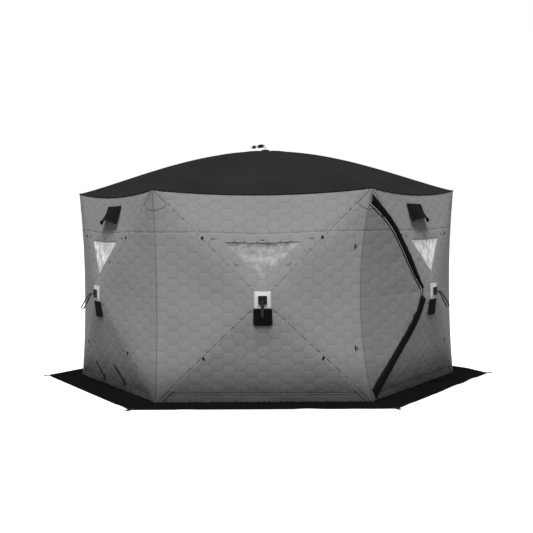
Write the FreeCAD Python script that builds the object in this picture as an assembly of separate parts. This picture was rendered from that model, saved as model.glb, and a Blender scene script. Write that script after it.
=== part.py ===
import FreeCAD, Part

import math
import os

# Six-sided pop-up ice fishing shelter: six cloth walls and a cloth roof, each pushed out by a hub with poles.
# Millimetres. +Z is up, the origin is on the ice at the middle of the floor, and the front wall faces -Y.
# In a wall's own terms, "across" runs to the right as seen from outside, "up" is the height above the ice,
# and "out" is the distance outside the flat plane through the wall's four corners.

# Driving dimensions.
SIDE = 1800.0                 # a wall's width, corner to corner
WALL_HEIGHT = 1770.0          # the ice to the wall's top corners
HUB_HEIGHT = 870.0            # the ice to a wall hub's centre
HUB_BULGE = 180.0             # how far a wall hub stands outside the wall's corner plane
ROOF_RISE = 395.0             # the eave to the roof's centre
ROOF_ROUNDNESS = 1.15         # the power of the cosine that a hip follows: less is rounder
ROOF_STEPS = 4                # flat plates from the centre to the eave in each roof sector
CLOTH = 3.0                   # quilted cloth
SHEET = 1.0                   # clear window sheet and vent mesh
GAP = 1.0                     # play between a loose panel's edges and the cloth beside it
SEWN_GAP = 0.5                # under a piece that is sewn on the cloth
BUTT_GAP = 0.05               # between two ends that meet square
CUT_MARGIN = 10.0             # how far a cutting shape runs past what it cuts
SECTOR_REACH = 1.3            # how far a wall's wedge reaches, as a share of the way to its corners
MESH_GAP = 0.5                # between a vent's mesh and the cloth in front of it

POLE_RADIUS = 5.5
BARREL_RADIUS = 9.0           # the barrel across the pole's inner end, which turns in the hub's slot
BARREL_WIDTH = 13.0
POLE_CAP_RADIUS = 7.5
POLE_CAP_LENGTH = 28.0
POLE_CAP_END = 3.0            # how far the cap goes past the pole's nominal tip
ROOF_POLE_BOW = 55.0
TIP_GAP = 85.0                # a wall pole's tip to its wall corner, along the pole
TIP_DEPTH = 24.0              # the same tip behind the cloth's outer face
ROOF_TIP_GAP = 74.0
ROOF_TIP_DROP = 12.0          # a roof pole's tip below the eave

HUB_RADIUS = 75.0
HUB_THICKNESS = 26.0
HUB_DEPTH = 22.0              # the hub's outer face behind the peak of the cloth
HUB_STEM_RADIUS = 22.0
HUB_PLATE = 72.0              # the square plate outside the cloth
HUB_PLATE_THICKNESS = 6.0
HUB_PLATE_STANDOFF = 4.0
HUB_PLATE_CORNER = 8.0
BOLT_RADIUS = 7.0
BOLT_HEIGHT = 4.0
BOLT_OFFSET = 20.5
PIN_RADIUS = 3.0
PIN_CIRCLE = 45.0             # the hub's centre to each pole's pins
PIN_SPAN = 30.0               # over a barrel's two pins
SEAT_SPAN = 31.0              # over the two seats beside a slot
PIN_DEPTH = HUB_DEPTH + HUB_THICKNESS / 2
PIN_PLAY = 0.1                # between a pin and its seat in the hub
SLOT_WIDTH = 15.0
SLOT_START = 33.0
HUB_HOLE = 30.0               # half the width of the square hole in the cloth round a hub's stem
PATCH_HOLE = 31.5             # half the width of the same hole in the patch
ROOF_HOLE = 36.0              # the roof's centre to a corner of the hole round its hub's stem

STRAP_WIDTH = 25.0
STRAP_THICKNESS = 3.0
# The middle of each pull strap's webbing, as (out from the hub's plate, up the wall or across the roof):
# a long loop that hangs from a wall hub, and one that has folded over on the roof hub.
WALL_PULL_LINE = ((0, 5), (34, 5), (58, -12), (96, -70), (124, -118), (118, -131), (104, -132),
                  (76, -84), (48, -28), (32, -5), (0, -5))
ROOF_PULL_LINE = ((0, -5), (22, -5), (42, 4), (46, 24), (40, 70), (33, 128), (26, 136), (19, 128),
                  (27, 68), (31, 26), (22, 5), (0, 5))
PATCH = 70.0                  # half the width of the square patch round a hub
PATCH_THICKNESS = 1.5
FLAP_HALF_WIDTH = 79.0
FLAP_TOP = 72.0               # below the hub's centre
FLAP_BOTTOM = 212.0
FLAP_SHOULDER = 15.0          # from the flap's narrow top to its full width
FLAP_THICKNESS = 2.0

POCKET_WALL = 2.0
POCKET_WIDTH = 20.0           # inside
POCKET_HEIGHT = 24.0          # inside
ROOF_POCKET_HEIGHT = 32.0
POCKET_GRIP = 40.0            # how much of the pole's end is inside the pocket
POCKET_ROOM = 16.0            # free length past the tip, for the push through the flat position
ROOF_POCKET_ROOM = 46.0
POCKET_SLOPE = 3.2            # degrees
ROOF_POCKET_SLOPE = 10.0      # degrees

WINDOW_TOP = 1340.0
WINDOW_BOTTOM = 1045.0
WINDOW_HALF_WIDTH = 305.0
WINDOW_LAP = 14.0             # how far the clear sheet runs behind the cloth
WINDOW_CORNER_LAP = 28.0      # the same at its top corners, across
WINDOW_TIP_LAP = 21.0         # and at its lowest corner, down

VENT_SHIFT = 100.0            # the vent's centre to the wall's centre line, towards the front wall
VENT_TOP = 1630.0
VENT_BOTTOM = 1530.0
VENT_HALF_WIDTH = 110.0
HOOD_TOP = 1680.0
HOOD_LENGTH = 180.0
HOOD_TOP_HALF_WIDTH = 150.0
HOOD_BOTTOM_HALF_WIDTH = 165.0
HOOD_ANGLE = 30.0             # degrees between the propped hood and the cloth
HOOD_THICKNESS = 2.0
HOOD_WIRE_RADIUS = 2.0

TRACK_WIDTH = 62.0            # zip tape and storm flap, across its length
TRACK_THICKNESS = 3.0
TRACK_START = 110.0           # from the corner seam, across
TRACK_HUB_GAP = 52.0          # from the hub's centre, across: it clears the hub's stem as the wall flattens
DOOR_SEAM_GAP = 3.0           # from the corner seam, which the door turns on
DOOR_NOSE = 200.0             # the hub's centre to the door's far edge, across
DOOR_NOSE_LOW = 840.0         # the far edge's two ends, above the ice
DOOR_NOSE_HIGH = 905.0
DOOR_KNEE = 330.0             # where the lower zip leaves the crease, from the hub's centre, across
SLIDER_WIDTH = 14.0
SLIDER_LENGTH = 20.0
SLIDER_HEIGHT = 6.0
SLIDER_START = 132.0          # from the corner seam, across
PULL_WIDTH = 9.0
PULL_LENGTH = 34.0
PULL_THICKNESS = 2.0

TIEBACK_INSET = 93.0          # from the corner seam
TIEBACK_HEIGHTS = (461.0, 1296.0)
TIEBACK_RADIUS = 5.0
TIEBACK_LENGTH = 38.0

BASE_STRAPS = ((-364.0, 208.0, -210.0, 68.0), (114.0, 231.0, 297.0, 84.0))
BASE_STRAP_WIDTH = 25.0

SKIRT_WIDTH = 300.0
SKIRT_THICKNESS = 3.0
TAB_WIDTH = 38.0
TAB_THICKNESS = 2.0
TAB_INSIDE = 60.0             # from the skirt's corner, inwards
TAB_OUTSIDE = 40.0            # from the skirt's corner, outwards
EYELET_CENTRE = 20.0          # outside the skirt's corner
EYELET_BORE = 6.0
EYELET_BARREL = 7.5
EYELET_FLANGE = 11.0
EYELET_LIP = 1.0
FIT_PLAY = 0.05

# Worked out from the dimensions above.
HALF = SIDE / 2
APOTHEM = HALF / math.tan(math.radians(30))
EAVE = WALL_HEIGHT + CLOTH
ROOF_PEAK = EAVE + ROOF_RISE
SKIRT_CORNER = (APOTHEM + SKIRT_WIDTH) / math.cos(math.radians(30))
HOLE_SHARE = HUB_HOLE / HALF
UP = FreeCAD.Vector(0, 0, 1)

WALLS = {"front": -90, "front_right": -30, "back_right": 30, "back": 90, "back_left": 150, "front_left": -150}
DOOR_WALL = "front_right"
VENTED_WALLS = {"front_left": VENT_SHIFT, "front_right": -VENT_SHIFT}
TIEBACK_WALL = "front"
BASE_STRAP_WALL = "front_left"
POLE_CORNERS = {"top_left": (-1, 1), "top_right": (1, 1), "bottom_left": (-1, -1), "bottom_right": (1, -1)}
CORNERS = {"right": 0, "back_right": 60, "back_left": 120, "left": 180, "front_left": 240, "front_right": 300}


def bearing(degrees):
    """The level unit vector at this angle from +X."""
    angle = math.radians(degrees)
    return FreeCAD.Vector(math.cos(angle), math.sin(angle), 0)


def wall_axes(wall):
    """The wall's outward normal and its across direction."""
    normal = bearing(WALLS[wall])
    return normal, UP.cross(normal)


def wall_point(wall, across, up, out):
    normal, along = wall_axes(wall)
    return normal * (APOTHEM + out) + along * across + UP * up


def edge_rise(sign):
    """The height between the hub and the wall's top edge (above zero) or bottom edge."""
    return WALL_HEIGHT - HUB_HEIGHT if sign > 0 else HUB_HEIGHT


def bulge(across, up):
    """How far the stretched cloth stands out at a place on the wall: a four-sided pyramid."""
    side_share = abs(across) / HALF
    height_share = abs(up - HUB_HEIGHT) / edge_rise(up - HUB_HEIGHT)
    return HUB_BULGE * (1 - max(side_share, height_share))


def crease(up):
    """Half the width between the two creases at this height."""
    return HALF * abs(up - HUB_HEIGHT) / edge_rise(up - HUB_HEIGHT)


def on_cloth(wall, across, up, lift=0.0):
    return wall_point(wall, across, up, bulge(across, up) + lift)


def prism(points, travel):
    """A flat outline pushed along a vector."""
    return Part.Face(Part.makePolygon(points + points[:1])).extrude(travel)


def wall_sector(wall):
    """The wedge between the planes that stand on the wall's two corner seams."""
    half = HALF * SECTOR_REACH
    out = APOTHEM * (SECTOR_REACH - 1)
    points = [UP * -CUT_MARGIN] + [wall_point(wall, across, -CUT_MARGIN, out) for across in (-half, half)]
    return prism(points, UP * (WALL_HEIGHT + 2 * CUT_MARGIN))


def panel(wall, outline, thickness=CLOTH, lift=0.0):
    """A flat plate whose outer face is on the cloth, or lifted from it, mitred at the wall's corner seams."""
    normal, _ = wall_axes(wall)
    points = [on_cloth(wall, across, up, lift) for across, up in outline]
    return prism(points, normal * -thickness).common(wall_sector(wall)).Solids[0]


def facet(side, inner=HOLE_SHARE, outer=1.0):
    """The outline of one of the pyramid's four faces, between two shares of the way out from the hub."""
    def corner(share, across_sign, up_sign):
        return across_sign * share * HALF, HUB_HEIGHT + up_sign * share * edge_rise(up_sign)

    ends = {"top": ((-1, 1), (1, 1)), "bottom": ((-1, -1), (1, -1)),
            "left": ((-1, -1), (-1, 1)), "right": ((1, -1), (1, 1))}[side]
    (first, second) = ends
    return [corner(outer, *first), corner(outer, *second), corner(inner, *second), corner(inner, *first)]


def window_plates(wall):
    """The top face round its triangular window, and round the vent where the wall has one."""
    top, low = WINDOW_TOP, WINDOW_BOTTOM
    hub_top = HUB_HEIGHT + HOLE_SHARE * edge_rise(1)
    outlines = [band_outline(hub_top, low)]
    for sign in (-1, 1):
        outlines.append([(sign * crease(top), top), (sign * WINDOW_HALF_WIDTH, top), (0, low),
                         (sign * crease(low), low)])
    if wall not in VENTED_WALLS:
        outlines.append(band_outline(top, WALL_HEIGHT))
        return [panel(wall, outline) for outline in outlines]
    centre = VENTED_WALLS[wall]
    outlines.append(band_outline(top, VENT_BOTTOM))
    outlines.append(band_outline(VENT_TOP, WALL_HEIGHT))
    for sign in (-1, 1):
        edge = centre + sign * VENT_HALF_WIDTH
        outlines.append([(edge, VENT_BOTTOM), (sign * crease(VENT_BOTTOM), VENT_BOTTOM),
                         (sign * crease(VENT_TOP), VENT_TOP), (edge, VENT_TOP)])
    return [panel(wall, outline) for outline in outlines]


def band_outline(low, high):
    """The stretch of the top face between two heights."""
    return [(-crease(low), low), (crease(low), low), (crease(high), high), (-crease(high), high)]


def wall_cover(wall):
    plates = window_plates(wall) + [panel(wall, facet(side)) for side in ("bottom", "right")]
    if wall == DOOR_WALL:
        return plates + door_frame_cloth()
    return plates + [panel(wall, facet("left"))]


def window_pane(wall):
    """A clear sheet sewn behind the window opening."""
    half = WINDOW_HALF_WIDTH + WINDOW_CORNER_LAP
    outline = [(-half, WINDOW_TOP + WINDOW_LAP), (half, WINDOW_TOP + WINDOW_LAP),
               (0, WINDOW_BOTTOM - WINDOW_TIP_LAP)]
    return panel(wall, outline, SHEET, -CLOTH)


def vent_mesh(wall):
    centre = VENTED_WALLS[wall]
    half = VENT_HALF_WIDTH + WINDOW_LAP
    low, high = VENT_BOTTOM - WINDOW_LAP, VENT_TOP + WINDOW_LAP
    outline = [(centre - half, low), (centre + half, low), (centre + half, high), (centre - half, high)]
    return panel(wall, outline, SHEET, -CLOTH - MESH_GAP)


def vent_hood(wall):
    """A stiffened flap, hinged at its top edge and propped off the vent, with a wire in its free edge."""
    normal, along = wall_axes(wall)
    centre = VENTED_WALLS[wall]
    tilt = math.atan(HUB_BULGE / edge_rise(1)) + math.radians(HOOD_ANGLE)
    down = normal * math.sin(tilt) - UP * math.cos(tilt)
    face = normal * math.cos(tilt) + UP * math.sin(tilt)
    hinge = on_cloth(wall, centre, HOOD_TOP, HOOD_THICKNESS + GAP)
    free = hinge + down * HOOD_LENGTH
    outline = [hinge - along * HOOD_TOP_HALF_WIDTH, hinge + along * HOOD_TOP_HALF_WIDTH,
               free + along * HOOD_BOTTOM_HALF_WIDTH, free - along * HOOD_BOTTOM_HALF_WIDTH]
    plate = prism(outline, face * -HOOD_THICKNESS)
    wire_start = free - along * HOOD_BOTTOM_HALF_WIDTH + down * HOOD_WIRE_RADIUS - face * (HOOD_THICKNESS / 2)
    wire = Part.makeCylinder(HOOD_WIRE_RADIUS, 2 * HOOD_BOTTOM_HALF_WIDTH, wire_start, along)
    return [plate, wire]


def band_up(offset, sign, across):
    """The height of a line beside the left face's upper (+1) or lower (-1) crease, this far inside it."""
    slope = sign * edge_rise(sign) / HALF
    return HUB_HEIGHT - slope * across - sign * offset * math.hypot(1, slope)


def door_outline():
    """The door's corners, just off the corner seam that it turns on: the zip runs round the other sides."""
    seam = -HALF + DOOR_SEAM_GAP
    return {"low": (seam, band_up(TRACK_WIDTH, -1, seam)),
            "knee": (-DOOR_KNEE, band_up(TRACK_WIDTH, -1, -DOOR_KNEE)),
            "nose_low": (-DOOR_NOSE, DOOR_NOSE_LOW),
            "nose_high": (-DOOR_NOSE, DOOR_NOSE_HIGH),
            "high": (seam, band_up(TRACK_WIDTH, 1, seam))}


def line_up(first, second, across):
    """The height of the line through two places, at this distance across."""
    return first[1] + (second[1] - first[1]) * (across - first[0]) / (second[0] - first[0])


def door_panel():
    corner = door_outline()
    outline = [(corner["low"][0], corner["low"][1] + 2 * GAP),
               (corner["knee"][0] - GAP, corner["knee"][1] + GAP),
               (corner["nose_low"][0] - GAP, corner["nose_low"][1]),
               (corner["nose_high"][0] - GAP, corner["nose_high"][1]),
               (corner["high"][0], corner["high"][1] - 2 * GAP)]
    return panel(DOOR_WALL, outline)


def door_zip_track():
    """The zip tape, and the storm flap that covers it, between the door's edge and the creases."""
    corner = door_outline()
    low, knee, nose_low, nose_high, high = corner.values()
    start, end = -HALF + TRACK_START, -TRACK_HUB_GAP
    nose = nose_low[0] + GAP
    outlines = [
        [(start, band_up(GAP, 1, start)), (end, band_up(GAP, 1, end)), (end, nose_high[1] + GAP),
         (nose, nose_high[1] + GAP), (start, line_up(high, nose_high, start) + GAP)],
        [(nose, nose_high[1]), (end, nose_high[1]), (end, nose_low[1]), (nose, nose_low[1])],
        [(end, band_up(GAP, -1, end)), (end, nose_low[1] - GAP), (nose, nose_low[1] - GAP), knee,
         (knee[0], band_up(GAP, -1, knee[0]))],
        [(knee[0] - GAP, band_up(GAP, -1, knee[0])), (knee[0] - GAP, knee[1] - GAP),
         (start, line_up(low, knee, start)), (start, band_up(GAP, -1, start))],
    ]
    return [panel(DOOR_WALL, outline, TRACK_THICKNESS) for outline in outlines]


def door_frame_cloth():
    """The wall's own cloth at the ends of the zip tapes: two corners, and the strip beside the hub."""
    start, end = -HALF + TRACK_START - GAP, -TRACK_HUB_GAP + GAP
    shapes = [panel(DOOR_WALL, facet("left", HOLE_SHARE, -end / HALF))]
    for sign in (1, -1):
        outline = [(-HALF, band_up(0, sign, -HALF)), (start, band_up(0, sign, start)),
                   (start, band_up(TRACK_WIDTH, sign, start)), (-HALF, band_up(TRACK_WIDTH, sign, -HALF))]
        shapes.append(panel(DOOR_WALL, outline))
    return shapes


def slider(end):
    """A zip slider with its pull tab, on a zip tape just clear of the door's edge, near the corner seam."""
    corner = door_outline()
    first, last = ("low", "knee") if end == "lower" else ("high", "nose_high")
    across = -HALF + SLIDER_START
    origin = on_cloth(DOOR_WALL, across, line_up(corner[first], corner[last], across))
    heading = (on_cloth(DOOR_WALL, *corner[last]) - origin).normalize()
    seam = (on_cloth(DOOR_WALL, *corner["high"]) - on_cloth(DOOR_WALL, *corner["low"])).normalize()
    face = heading.cross(seam).normalize()
    away = seam * (1 if end == "upper" else -1)
    away = (away - heading * away.dot(heading)).normalize()
    origin += away * (SLIDER_WIDTH / 2 + 2 * GAP)
    frame = FreeCAD.Placement(origin, FreeCAD.Rotation(heading, face.cross(heading), face, "XYZ"))
    body = Part.makeBox(SLIDER_LENGTH, SLIDER_WIDTH, SLIDER_HEIGHT,
                        FreeCAD.Vector(-SLIDER_LENGTH / 2, -SLIDER_WIDTH / 2, GAP))
    pull = Part.makeBox(PULL_LENGTH, PULL_WIDTH, PULL_THICKNESS,
                        FreeCAD.Vector(-SLIDER_LENGTH / 2 - PULL_LENGTH, -PULL_WIDTH / 2, GAP * 2))
    return placed([body, pull], frame)


def slot_cut(heading):
    """The slot in a hub that a pole's barrel turns in, cut right through the hub."""
    box = Part.makeBox(HUB_RADIUS, SLOT_WIDTH, HUB_THICKNESS + 2 * CUT_MARGIN,
                       FreeCAD.Vector(SLOT_START, -SLOT_WIDTH / 2, -HUB_DEPTH - HUB_THICKNESS - CUT_MARGIN))
    box.rotate(FreeCAD.Vector(), UP, heading)
    return box


def pin_seats(heading):
    """The two round seats beside a slot, as one cylinder across it."""
    across = bearing(heading + 90)
    middle = bearing(heading) * PIN_CIRCLE - UP * PIN_DEPTH
    return Part.makeCylinder(PIN_RADIUS + PIN_PLAY, SEAT_SPAN, middle - across * (SEAT_SPAN / 2), across)


def hub(headings):
    """A moulded hub with slots and pin seats, and outside the cloth its plate and bolt. +Z is outwards."""
    disc = Part.makeCylinder(HUB_RADIUS, HUB_THICKNESS, FreeCAD.Vector(0, 0, -HUB_DEPTH - HUB_THICKNESS))
    stem = Part.makeCylinder(HUB_STEM_RADIUS, HUB_DEPTH + HUB_PLATE_STANDOFF, UP * -HUB_DEPTH)
    core = disc.fuse(stem)
    for heading in headings:
        core = core.cut(slot_cut(heading)).cut(pin_seats(heading))
    plate = Part.makeBox(HUB_PLATE, HUB_PLATE, HUB_PLATE_THICKNESS,
                         FreeCAD.Vector(-HUB_PLATE / 2, -HUB_PLATE / 2, HUB_PLATE_STANDOFF))
    upright = [edge for edge in plate.Edges if math.isclose(edge.Length, HUB_PLATE_THICKNESS)]
    plate = plate.makeFillet(HUB_PLATE_CORNER, upright)
    top = HUB_PLATE_STANDOFF + HUB_PLATE_THICKNESS
    bolt = Part.makeCylinder(BOLT_RADIUS, BOLT_HEIGHT, FreeCAD.Vector(0, BOLT_OFFSET, top))
    return core.Solids + [plate, bolt]


def ribbon(centre_line, width):
    """A strip of webbing on the hub's plate that follows (out, along) points, its width level."""
    half = STRAP_THICKNESS / 2
    base = HUB_PLATE_STANDOFF + HUB_PLATE_THICKNESS
    left, right = [], []
    for index, (out, along) in enumerate(centre_line):
        before = centre_line[max(index - 1, 0)]
        after = centre_line[min(index + 1, len(centre_line) - 1)]
        run = math.hypot(after[0] - before[0], after[1] - before[1])
        step = ((after[0] - before[0]) / run * half, (after[1] - before[1]) / run * half)
        left.append((base + out - step[1], along + step[0]))
        right.append((base + out + step[1], along - step[0]))
    outline = [FreeCAD.Vector(-width / 2, along, out) for out, along in left + right[::-1]]
    return prism(outline, FreeCAD.Vector(width, 0, 0))


def wall_pull_strap():
    """A loop of webbing on the wall hub's plate, which stands out and hangs."""
    return ribbon(WALL_PULL_LINE, STRAP_WIDTH)


def roof_pull_strap():
    """A loop of webbing on the roof hub's plate, folded over to the left."""
    strap = ribbon(ROOF_PULL_LINE, STRAP_WIDTH)
    strap.rotate(FreeCAD.Vector(), UP, 90)
    return strap


def wall_hub_frame(wall):
    """A wall hub's own axes: X across, Y up, Z outwards, with the origin at the peak of the cloth."""
    normal, along = wall_axes(wall)
    return FreeCAD.Placement(wall_point(wall, 0, HUB_HEIGHT, HUB_BULGE),
                             FreeCAD.Rotation(along, UP, normal, "ZXY"))


def roof_hub_frame():
    return FreeCAD.Placement(FreeCAD.Vector(0, 0, ROOF_PEAK), FreeCAD.Rotation())


def placed(shapes, frame):
    for shape in shapes:
        shape.Placement = frame.multiply(shape.Placement)
    return shapes


def pole(heading, reach, depth, bow):
    """A fibreglass pole: its barrel and two pins in the hub, the rod, and the cap on its end."""
    along = bearing(heading)
    side = bearing(heading + 90)
    pivot = along * PIN_CIRCLE - UP * PIN_DEPTH
    tip = along * reach - UP * depth
    chord = tip - pivot
    crown = (pivot + tip) * 0.5 + chord.cross(side).normalize() * bow
    if bow:
        whole = Part.Arc(pivot, crown, tip)
        first = whole.tangent(whole.FirstParameter)[0]
        last = whole.tangent(whole.LastParameter)[0]
    else:
        first = last = FreeCAD.Vector(chord).normalize()
    start = pivot + first * (BARREL_RADIUS + BUTT_GAP)
    cap_start = tip - last * (POLE_CAP_LENGTH - POLE_CAP_END)
    end = cap_start - last * BUTT_GAP
    if bow:
        route = Part.Arc(start, crown, end)
        profile = Part.Circle(start, route.tangent(route.FirstParameter)[0], POLE_RADIUS)
        rod = Part.Wire(route.toShape()).makePipeShell([Part.Wire(profile.toShape())], True, False)
    else:
        rod = Part.makeCylinder(POLE_RADIUS, (end - start).Length, start, first)
    pieces = [rod, Part.makeCylinder(POLE_CAP_RADIUS, POLE_CAP_LENGTH, cap_start, last),
              Part.makeCylinder(BARREL_RADIUS, BARREL_WIDTH, pivot - side * (BARREL_WIDTH / 2), side)]
    for way in (side, side * -1):
        pieces.append(Part.makeCylinder(PIN_RADIUS, (PIN_SPAN - BARREL_WIDTH) / 2,
                                        pivot + way * (BARREL_WIDTH / 2), way))
    return [solid for piece in pieces for solid in piece.Solids]


def pole_heading(across_sign, up_sign):
    """The direction of a wall pole in its hub's own axes, in degrees."""
    return math.degrees(math.atan2(up_sign * edge_rise(up_sign), across_sign * HALF))


def wall_pole(wall, corner):
    across_sign, up_sign = POLE_CORNERS[corner]
    diagonal = math.hypot(HALF, edge_rise(up_sign))
    reach = diagonal - TIP_GAP
    depth = HUB_BULGE * reach / diagonal + TIP_DEPTH
    return placed(pole(pole_heading(across_sign, up_sign), reach, depth, 0), wall_hub_frame(wall))


def wall_hub(wall):
    headings = [pole_heading(*signs) for signs in POLE_CORNERS.values()]
    return placed(hub(headings) + [wall_pull_strap()], wall_hub_frame(wall))


def roof_pole(corner):
    depth = ROOF_RISE + ROOF_TIP_DROP
    return placed(pole(CORNERS[corner], SIDE - ROOF_TIP_GAP, depth, ROOF_POLE_BOW), roof_hub_frame())


def pocket(tip, heading, swing, height, room):
    """A webbing pocket that a pole's tip slides in: two faces, two sides and a closed end, sewn together.
    heading points from the corner to the hub."""
    side = heading.cross(swing)
    frame = FreeCAD.Placement(tip, FreeCAD.Rotation(heading, swing, side, "XYZ"))
    length = room + POCKET_GRIP
    outer = height + 2 * POCKET_WALL
    plates = [Part.makeBox(POCKET_WALL, outer, POCKET_WIDTH + 2 * POCKET_WALL,
                           FreeCAD.Vector(-room - POCKET_WALL, -outer / 2, -POCKET_WIDTH / 2 - POCKET_WALL))]
    for level in (-POCKET_WIDTH / 2 - POCKET_WALL, POCKET_WIDTH / 2):
        plates.append(Part.makeBox(length, outer, POCKET_WALL, FreeCAD.Vector(-room, -outer / 2, level)))
    for level in (-outer / 2, height / 2):
        plates.append(Part.makeBox(length, POCKET_WALL, POCKET_WIDTH,
                                   FreeCAD.Vector(-room, level, -POCKET_WIDTH / 2)))
    return placed(plates, frame)


def wall_pockets(wall):
    normal, along = wall_axes(wall)
    slope = math.radians(POCKET_SLOPE)
    shapes = []
    for across_sign, up_sign in POLE_CORNERS.values():
        rise = edge_rise(up_sign)
        diagonal = math.hypot(HALF, rise)
        share = 1 - TIP_GAP / diagonal
        tip = wall_point(wall, across_sign * HALF * share, HUB_HEIGHT + up_sign * rise * share,
                         HUB_BULGE * (1 - share) - TIP_DEPTH)
        inwards = (along * (-across_sign * HALF) + UP * (-up_sign * rise)) * (1 / diagonal)
        heading = inwards * math.cos(slope) + normal * math.sin(slope)
        swing = normal * math.cos(slope) - inwards * math.sin(slope)
        shapes += pocket(tip, heading, swing, POCKET_HEIGHT, POCKET_ROOM)
    return shapes


def roof_pocket(corner):
    outwards = bearing(CORNERS[corner])
    slope = math.radians(ROOF_POCKET_SLOPE)
    tip = outwards * (SIDE - ROOF_TIP_GAP) + UP * (EAVE - ROOF_TIP_DROP)
    heading = outwards * -math.cos(slope) + UP * math.sin(slope)
    swing = outwards * math.sin(slope) + UP * math.cos(slope)
    return pocket(tip, heading, swing, ROOF_POCKET_HEIGHT, ROOF_POCKET_ROOM)


def roof_height(share):
    """The cloth's height at a share of the way from the roof's centre to a corner."""
    return EAVE + ROOF_RISE * max(math.cos(share * math.pi / 2), 0) ** ROOF_ROUNDNESS


def roof_ring(start, inner, outer, thickness, lift=0.0):
    """One flat plate of a roof sector, between two shares of the way from the centre to the corners."""
    corners = [bearing(start) * SIDE, bearing(start + 60) * SIDE]
    points = [corner * outer + UP * (roof_height(outer) + lift) for corner in corners]
    points += [corner * inner + UP * (roof_height(inner) + lift) for corner in reversed(corners)]
    return prism(points, UP * -thickness)


def roof_cover():
    shares = [ROOF_HOLE / SIDE] + [step / ROOF_STEPS for step in range(1, ROOF_STEPS + 1)]
    plates = []
    for start in range(0, 360, 60):
        for inner, outer in zip(shares, shares[1:]):
            plates.append(roof_ring(start, inner, outer, CLOTH))
    return plates


def hub_patches():
    """A reinforcing patch round each wall hub, and a cloth flap below it."""
    inner = PATCH_HOLE / HALF
    shapes = []
    for wall in WALLS:
        for side in ("top", "bottom", "left", "right"):
            if wall == DOOR_WALL and side == "left":
                continue
            outline = facet(side, inner, PATCH / HALF)
            shapes.append(panel(wall, outline, PATCH_THICKNESS, PATCH_THICKNESS + SEWN_GAP))
        top, low = HUB_HEIGHT - FLAP_TOP, HUB_HEIGHT - FLAP_BOTTOM
        narrow = PATCH - GAP
        shoulder = top - FLAP_SHOULDER
        outline = [(-narrow, top), (narrow, top), (FLAP_HALF_WIDTH, shoulder), (FLAP_HALF_WIDTH, low),
                   (-FLAP_HALF_WIDTH, low), (-FLAP_HALF_WIDTH, shoulder)]
        shapes.append(panel(wall, outline, FLAP_THICKNESS, FLAP_THICKNESS + SEWN_GAP))
    return shapes


def door_tiebacks():
    """Two toggles on the wall beside the door, which hold the open door back."""
    normal, _ = wall_axes(TIEBACK_WALL)
    shapes = []
    for up in TIEBACK_HEIGHTS:
        centre = on_cloth(TIEBACK_WALL, HALF - TIEBACK_INSET, up, TIEBACK_RADIUS + GAP)
        foot = centre - UP * (TIEBACK_LENGTH / 2)
        shapes.append(Part.makeCylinder(TIEBACK_RADIUS, TIEBACK_LENGTH, foot, UP))
    return shapes


def base_straps():
    """Slanted lengths of webbing sewn near the foot of one wall."""
    shapes = []
    for x0, y0, x1, y1 in BASE_STRAPS:
        run = math.hypot(x1 - x0, y1 - y0)
        sx, sy = -(y1 - y0) / run * BASE_STRAP_WIDTH / 2, (x1 - x0) / run * BASE_STRAP_WIDTH / 2
        outline = [(x0 + sx, y0 + sy), (x1 + sx, y1 + sy), (x1 - sx, y1 - sy), (x0 - sx, y0 - sy)]
        shapes.append(panel(BASE_STRAP_WALL, outline, STRAP_THICKNESS, STRAP_THICKNESS + SEWN_GAP))
    return shapes


def skirt():
    """A flat band of cloth on the ice, one mitred length for each wall."""
    spread = math.tan(math.radians(30))
    shapes = []
    for wall in WALLS:
        outline = []
        for out, sign in ((GAP, -1), (GAP, 1), (SKIRT_WIDTH, 1), (SKIRT_WIDTH, -1)):
            outline.append(wall_point(wall, sign * (APOTHEM + out) * spread, 0, out))
        shapes.append(prism(outline, UP * SKIRT_THICKNESS))
    return shapes


def anchor_tab(corner):
    """A webbing tab on the skirt's corner, with a hole for its eyelet."""
    tab = Part.makeBox(TAB_INSIDE + TAB_OUTSIDE, TAB_WIDTH, TAB_THICKNESS,
                       FreeCAD.Vector(SKIRT_CORNER - TAB_INSIDE, -TAB_WIDTH / 2, SKIRT_THICKNESS))
    centre = FreeCAD.Vector(SKIRT_CORNER + EYELET_CENTRE, 0, 0)
    tab = tab.cut(Part.makeCylinder(EYELET_BARREL + FIT_PLAY, CUT_MARGIN, centre))
    tab.rotate(FreeCAD.Vector(), UP, CORNERS[corner])
    return tab.Solids[0]


def anchor_eyelet(corner):
    """A metal eyelet for an ice anchor, flanged on both faces of its tab."""
    centre = FreeCAD.Vector(SKIRT_CORNER + EYELET_CENTRE, 0, SKIRT_THICKNESS - EYELET_LIP)
    height = TAB_THICKNESS + 2 * EYELET_LIP
    ring = Part.makeCylinder(EYELET_BARREL, height, centre)
    for level in (0, height - EYELET_LIP):
        ring = ring.fuse(Part.makeCylinder(EYELET_FLANGE, EYELET_LIP, centre + UP * level))
    ring = ring.cut(Part.makeCylinder(EYELET_BORE, height, centre)).removeSplitter()
    ring.rotate(FreeCAD.Vector(), UP, CORNERS[corner])
    return ring.Solids[0]


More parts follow.
